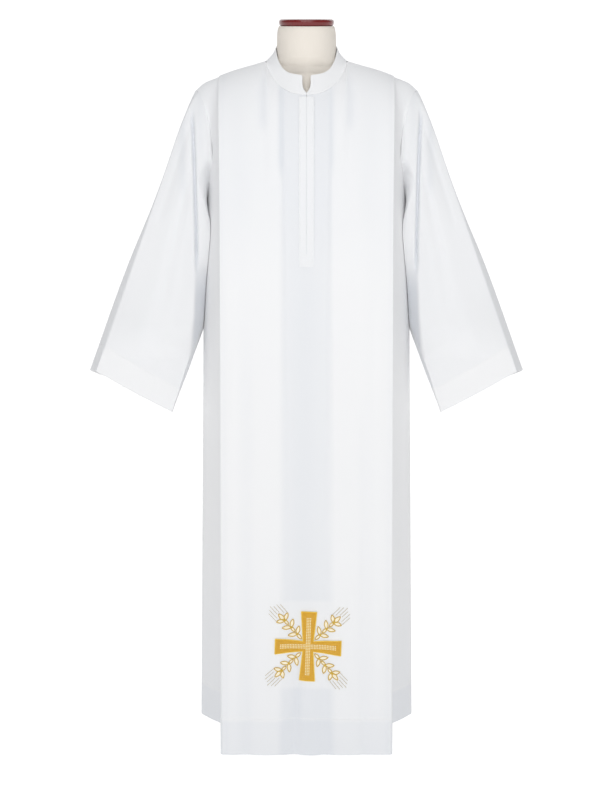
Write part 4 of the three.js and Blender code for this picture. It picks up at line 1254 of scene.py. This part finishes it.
def ear_leaves():
    """Closed leaf outlines in design coordinates: pointed at the tip, round at the base, one row per leaf."""
    t = np.linspace(0, 1, 15)
    half = np.sin(np.pi * t**0.9) ** 0.78
    loop_t = np.concatenate([t, t[-2:0:-1]])
    loop_w = np.concatenate([half, -half[-2:0:-1]])
    loops = []
    for angle in EAR_ANGLES:
        for far, off, long, wide in EAR_LEAVES:
            a, b = math.radians(angle), math.radians(angle + off)
            u = far * math.cos(a) + long * loop_t * math.cos(b) - wide / 2 * loop_w * math.sin(b)
            v = far * math.sin(a) + long * loop_t * math.sin(b) + wide / 2 * loop_w * math.cos(b)
            loops.append(np.stack([u, v], -1))
    return np.array(loops)


class ALB_OT_embroidery(bpy.types.Operator):
    """The cross in satin stitch with its open stitches, and four ears of wheat in outline."""

    bl_idname = "alb.embroidery"
    bl_label = "Embroidery"

    def execute(self, context):
        scale = context.scene.alb_shape.cross_scale
        rgb = context.scene.alb_finish.gold_color
        gold = satin("gold_satin", rgb, (0.82, 0.74, 0.55), 0.0008, 0.7, 0.42)
        bright = satin("gold_edge", tint(rgb, (1.05, 1.38, 2.6))[:3], (0.85, 0.8, 0.7), 0.0006, 0.6, 0.45)
        line = satin("gold_cord", tint(rgb, (0.74, 0.86, 1.1))[:3], (0.8, 0.78, 0.7), 0.0006, 0.6, 0.5)
        pale = satin("pale_thread", (0.95, 0.89, 0.72), (0.95, 0.92, 0.85), 0.0005, 0.4, 0.55)
        light = satin("light_gold_thread", (0.98, 0.86, 0.50), (0.95, 0.9, 0.8), 0.0005, 0.4, 0.5)
        awn = satin("awn_thread", (0.50, 0.41, 0.22), (0.85, 0.8, 0.7), 0.0004, 0.4, 0.6)
        bars = [shell(f"cross_bar_{k}", g, 0.9, material=gold)
                for k, g in (("upright", flared_bar(True, scale)), ("level", flared_bar(False, scale)))]
        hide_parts("cross_embroidery")
        points, faces = tube(cross_outline(scale), 0.9, OUTWARD, 6, True, 0.8)
        mesh_object("cross_border", points, faces, material=bright)
        pitch = context.scene.alb_shape.dot_pitch
        spots = []
        for upright, reach in ((True, CROSS["tall"] - 12), (False, CROSS["half"] - 11)):
            n = int(reach // pitch)
            far = np.arange(-n, n + 1) * pitch
            for side in (-1, 0, 1):
                spot = np.stack([np.full(far.shape, side * 3.7), far], -1)
                size = (1.3, 1.05) if upright else (1.05, 1.3)
                spots.append(pads(spot if upright else spot[np.abs(far) > 6.0][:, ::-1], *size, 2.0, 0.35,
                                  scale))
        points, faces = joined(spots)
        mesh_object("cross_open_stitches", points, faces, material=light)
        loops = ear_leaves()
        paths = laid(loops[..., 0], loops[..., 1], 0.75, scale)
        knots = np.array([(r * math.cos(math.radians(a)), r * math.sin(math.radians(a))) for a in EAR_ANGLES
                          for r in EAR_NODES])
        points, faces = joined([tube(paths, 1.05, OUTWARD, 5, True, 0.8),
                                pads(knots, 2.3, 2.3, 0.9, 1.0, scale)])
        mesh_object("wheat_outlines", points, faces, material=line)
        middle = loops.mean(1, keepdims=True)
        rings = [middle + (loops - middle) * k for k in (0.93, 0.6, 0.25)]
        lift = (0.35, 0.75, 0.9)
        fills = np.stack([laid(r[..., 0], r[..., 1], h, scale) for r, h in zip(rings, lift)], 1)
        count, _, n, _ = fills.shape
        centre = laid(middle[..., 0], middle[..., 1], 0.95, scale)
        points = np.concatenate([fills.reshape(count, -1, 3), centre], 1)
        c = np.arange(n)
        d = (c + 1) % n
        band = np.concatenate([np.stack([c + k * n, d + k * n, d + (k + 1) * n, c + (k + 1) * n], -1)
                               for k in (0, 1)])
        cap = np.stack([c + 2 * n, d + 2 * n, np.full(n, 3 * n)], -1)
        base = np.arange(count)[:, None, None] * (3 * n + 1)
        faces = (band[None] + base).reshape(-1, 4).tolist() + (cap[None] + base).reshape(-1, 3).tolist()
        mesh_object("wheat_leaves", points.reshape(-1, 3), faces, material=pale)
        t = np.linspace(0, 1, 10)
        lines = []
        for angle in EAR_ANGLES:
            a = math.radians(angle)
            for off, start, end in EAR_AWNS:
                far = mix(start, end, t)
                side = off * (1 + 0.05 * t)
                lines.append(laid(far * math.cos(a) - side * math.sin(a),
                                  far * math.sin(a) + side * math.cos(a), 0.45, scale))
        points, faces = tube(np.array(lines), 0.42, OUTWARD, 5, False, 0.8)
        mesh_object("wheat_awns", points, faces, material=awn)
        return {"FINISHED"}


# ---- form and stand ----
def turned(profile, around, y=0.0):
    """A turned solid: a profile of (radius, height) carried round an upright axis, closed at both poles."""
    profile = np.array(profile, float)
    a = 2 * np.pi * np.arange(around) / around
    r, z = profile[:, :1], profile[:, 1:]
    ring = np.stack(np.broadcast_arrays(r * np.cos(a), r * np.sin(a) + y, z), -1)
    quads = quads_of(len(profile), around, True)[0].reshape(-1, 4)
    top = (len(profile) - 1) * around + np.arange(around)
    return ring.reshape(-1, 3), quads.tolist() + [np.arange(around)[::-1].tolist(), top.tolist()]


def rounded_corner(r, z, size, start, end, count=7):
    """An arc of a turned profile's corner, between two directions in degrees."""
    a = np.radians(np.linspace(start, end, count))
    return [(r + size * math.cos(k), z + size * math.sin(k)) for k in a]


AXIS = 0.01  # radius of the smallest ring of a turned solid, next to its axis
POLE = {"radius": 16, "low": 34.3, "high": 821.7}


def cap_profile():
    """The neck cap as (radius, height): a flat underside, a swelling side and a rounded top edge."""
    underside = [(AXIS, 1640.3), (50, 1640.3), (56, 1640.5), (57.6, 1641.4)]
    side = rounded_corner(42, 1649.5, 18, -24, -4, 6) + rounded_corner(54.5, 1649.0, 5.6, 0, 90, 9)
    return underside + side + [(40, 1654.9), (AXIS, 1655.0)]


def base_profile():
    """The stand's base as (radius, height): a rounded rim, a shallow slope and a collar round the pole."""
    rim = rounded_corner(138.6, 1.4, 1.4, -90, 0, 4) + rounded_corner(137.5, 6.5, 2.5, 0, 80, 5)
    slope = [(100, 11), (54, 13), (46, 15.0), (39, 18.5), (34.5, 22)]
    return [(AXIS, 0), (138.6, 0)] + rim + slope + rounded_corner(28, 30, 4, 10, 90, 6) + [(AXIS, 34)]


class ALB_OT_dress_form(bpy.types.Operator):
    """The linen-covered form that the robe rests on, and its lacquered neck cap."""

    bl_idname = "alb.dress_form"
    bl_label = "Dress form"

    def execute(self, context):
        rows = np.array(FORM, float)
        low, shoulder, high = rows[0, 0], 1470, rows[-1, 0]
        z = np.concatenate([np.linspace(low, shoulder, 90), np.linspace(shoulder, high, 74)[1:]])
        x, y, middle, full = (curve(rows[:, (0, k)], z)[:, None] for k in (1, 2, 3, 4))
        a = (2 * np.pi * np.arange(128) / 128)[None]
        bent = lambda value: np.sign(value) * np.abs(value) ** (2 / full)
        grid = np.stack(np.broadcast_arrays(x * bent(np.cos(a)), middle + y * bent(np.sin(a)), z[:, None]),
                        -1)
        count = grid.shape[1]
        quads = quads_of(len(z), count, True)[0].reshape(-1, 4)
        ring = np.arange(count)
        faces = quads.tolist() + [ring[::-1].tolist(), (ring + (len(z) - 1) * count).tolist()]
        uv = corner_lengths(grid, True).reshape(-1, 2)
        ends = np.concatenate([grid[0, ::-1, :2], grid[-1, :, :2]])
        obj = mesh_object("dress_form", grid, faces, np.concatenate([uv, ends]), 50, linen())
        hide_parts("form_body")
        points, faces = turned(cap_profile(), 96, NECK["y"])
        cap = mesh_object("neck_cap", points, faces, None, 50,
                          hard("cap_lacquer", context.scene.alb_finish.cap_color, 0.2, 0.0, 0.35, 0.9, 14.0))
        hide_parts("form_cap")
        return {"FINISHED"}


class ALB_OT_stand(bpy.types.Operator):
    """The steel pole and its round base."""

    bl_idname = "alb.stand"
    bl_label = "Stand"

    def execute(self, context):
        low, high = POLE["low"], POLE["high"]
        points, faces = turned([(AXIS, low), (POLE["radius"], low), (POLE["radius"], high), (AXIS, high)], 64)
        pole = mesh_object("stand_pole_tube", points, faces, None, 40,
                           hard("brushed_steel", (0.58, 0.58, 0.60), 0.28, 1.0, 0.0, 0.5, 60.0, True))
        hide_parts("stand_pole")
        points, faces = turned(base_profile(), 128)
        base = mesh_object("stand_base_plate", points, faces, None, 40,
                           hard("base_enamel", (0.02, 0.02, 0.023), 0.35, 0.0, 0.3, 0.4, 40.0))
        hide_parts("stand_base")
        return {"FINISHED"}


# ---- stage ----
# the floor from its near end to the foot of the curve, the curve's radius, the wall's top and half the width
FLOOR = {"near": -14000, "far": 8000, "curve": 2500, "top": 12000, "half": 14000}
# name, place in metres, size in metres, share of the front lights' power
LAMPS = (
    ("key_left", (-1.0, -4.3, 2.8), 1.9, 1.0),
    ("key_right", (1.0, -4.3, 2.8), 1.9, 1.0),
    ("top_soft", (0.0, -0.9, 4.4), 2.4, 0.75),
)


LAMP_AIM = (0, 0, 1.0)


def floor_grid():
    """The floor, a quarter round and a wall, as rows from the near end to the top."""
    flat, radius = np.linspace(FLOOR["near"], FLOOR["far"], 13), FLOOR["curve"]
    turn = np.radians(np.linspace(10, 90, 9))
    y = np.concatenate([flat, FLOOR["far"] + radius * np.sin(turn), [FLOOR["far"] + radius]])
    z = np.concatenate([0 * flat, radius * (1 - np.cos(turn)), [FLOOR["top"]]])
    x = np.linspace(-FLOOR["half"], FLOOR["half"], 7)
    return np.stack(np.broadcast_arrays(x[None], y[:, None], z[:, None]), -1)


class ALB_OT_stage(bpy.types.Operator):
    """White floor and backdrop, soft lights and the camera."""

    bl_idname = "alb.stage"
    bl_label = "Stage"

    def execute(self, context):
        s = context.scene.alb_stage
        m, _, shader = new_material("studio_white", Base_Color=(0.3, 0.3, 0.3, 1), Roughness=0.9,
                                    Specular_IOR_Level=0.1)
        shader.inputs["Emission Color"].default_value = (1, 1, 1, 1)
        shader.inputs["Emission Strength"].default_value = 0.97
        grid = floor_grid()
        quads = quads_of(*grid.shape[:2], False)[0].reshape(-1, 4)
        mesh = bpy.data.meshes.new("floor_and_backdrop")
        mesh.from_pydata((grid.reshape(-1, 3) * MM).tolist(), [], quads.tolist())
        mesh.polygons.foreach_set("use_smooth", np.full(len(mesh.polygons), True))
        floor = bpy.data.objects.new("floor_and_backdrop", mesh)
        mesh.materials.append(m)
        context.scene.collection.objects.link(floor)
        world = bpy.data.worlds.new("white_room")
        context.scene.world = world
        world.use_nodes = True
        background = world.node_tree.nodes["Background"].inputs
        background["Color"].default_value = (0.955, 0.975, 1, 1)
        background["Strength"].default_value = s.sky
        for name, place, size, share in LAMPS:
            light = bpy.data.lights.new(name, "AREA")
            light.shape, light.size, light.energy = "DISK", size, s.key_power * share
            lamp = bpy.data.objects.new(name, light)
            context.scene.collection.objects.link(lamp)
            lamp.location = place
            aim = np.array(LAMP_AIM) - np.array(place)
            lamp.rotation_euler = (math.atan2(math.hypot(aim[0], aim[1]), -aim[2]), 0,
                                   math.atan2(-aim[0], aim[1]))
        camera = bpy.data.objects.new("camera", bpy.data.cameras.new("camera"))
        context.scene.collection.objects.link(camera)
        camera.location = (0, -s.camera_back, s.camera_high)
        camera.rotation_euler = (math.pi / 2 - s.camera_down, 0, 0)
        camera.data.lens, camera.data.sensor_width = s.lens, 36
        camera.data.clip_end = 60
        context.scene.camera = camera
        context.scene.view_settings.view_transform = "Standard"
        return {"FINISHED"}


class ALB_OT_declare(bpy.types.Operator):
    """An empty step: it changes nothing."""

    bl_idname = "alb.declare"
    bl_label = "Cloth sizes"

    def execute(self, context):
        return {"FINISHED"}


# the pieces made so far, by name: each object with its grid, and the places along the sleeve
MADE = {}


class ALB_PT_panel(bpy.types.Panel):
    """Lists the pieces and their settings."""

    bl_idname = "ALB_PT_panel"
    bl_label = "Alb robe"
    bl_space_type = "VIEW_3D"
    bl_region_type = "UI"
    bl_category = "Alb"

    def draw(self, context):
        column = self.layout.column()
        for operator in OPERATORS:
            column.operator(operator.bl_idname)
        for group in (context.scene.alb_shape, context.scene.alb_finish, context.scene.alb_stage):
            for key in group.__annotations__:
                column.prop(group, key)


OPERATORS = (
    ALB_OT_dress_form, ALB_OT_stand, ALB_OT_body, ALB_OT_sleeves, ALB_OT_collar, ALB_OT_zip,
    ALB_OT_stitching, ALB_OT_embroidery, ALB_OT_declare, ALB_OT_stage,
)
GROUPS = {"alb_shape": AlbShape, "alb_finish": AlbFinish, "alb_stage": AlbStage}


def register():
    for cls in (*GROUPS.values(), *OPERATORS, ALB_PT_panel):
        bpy.utils.register_class(cls)
    for name, group in GROUPS.items():
        setattr(bpy.types.Scene, name, bpy.props.PointerProperty(type=group))


def unregister():
    for name in GROUPS:
        delattr(bpy.types.Scene, name)
    for cls in reversed((*GROUPS.values(), *OPERATORS, ALB_PT_panel)):
        bpy.utils.unregister_class(cls)


def main():
    """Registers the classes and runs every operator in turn."""
    register()
    for operator in OPERATORS:
        space, name = operator.bl_idname.split(".")
        getattr(getattr(bpy.ops, space), name)()


if __name__ == "__main__":
    main()
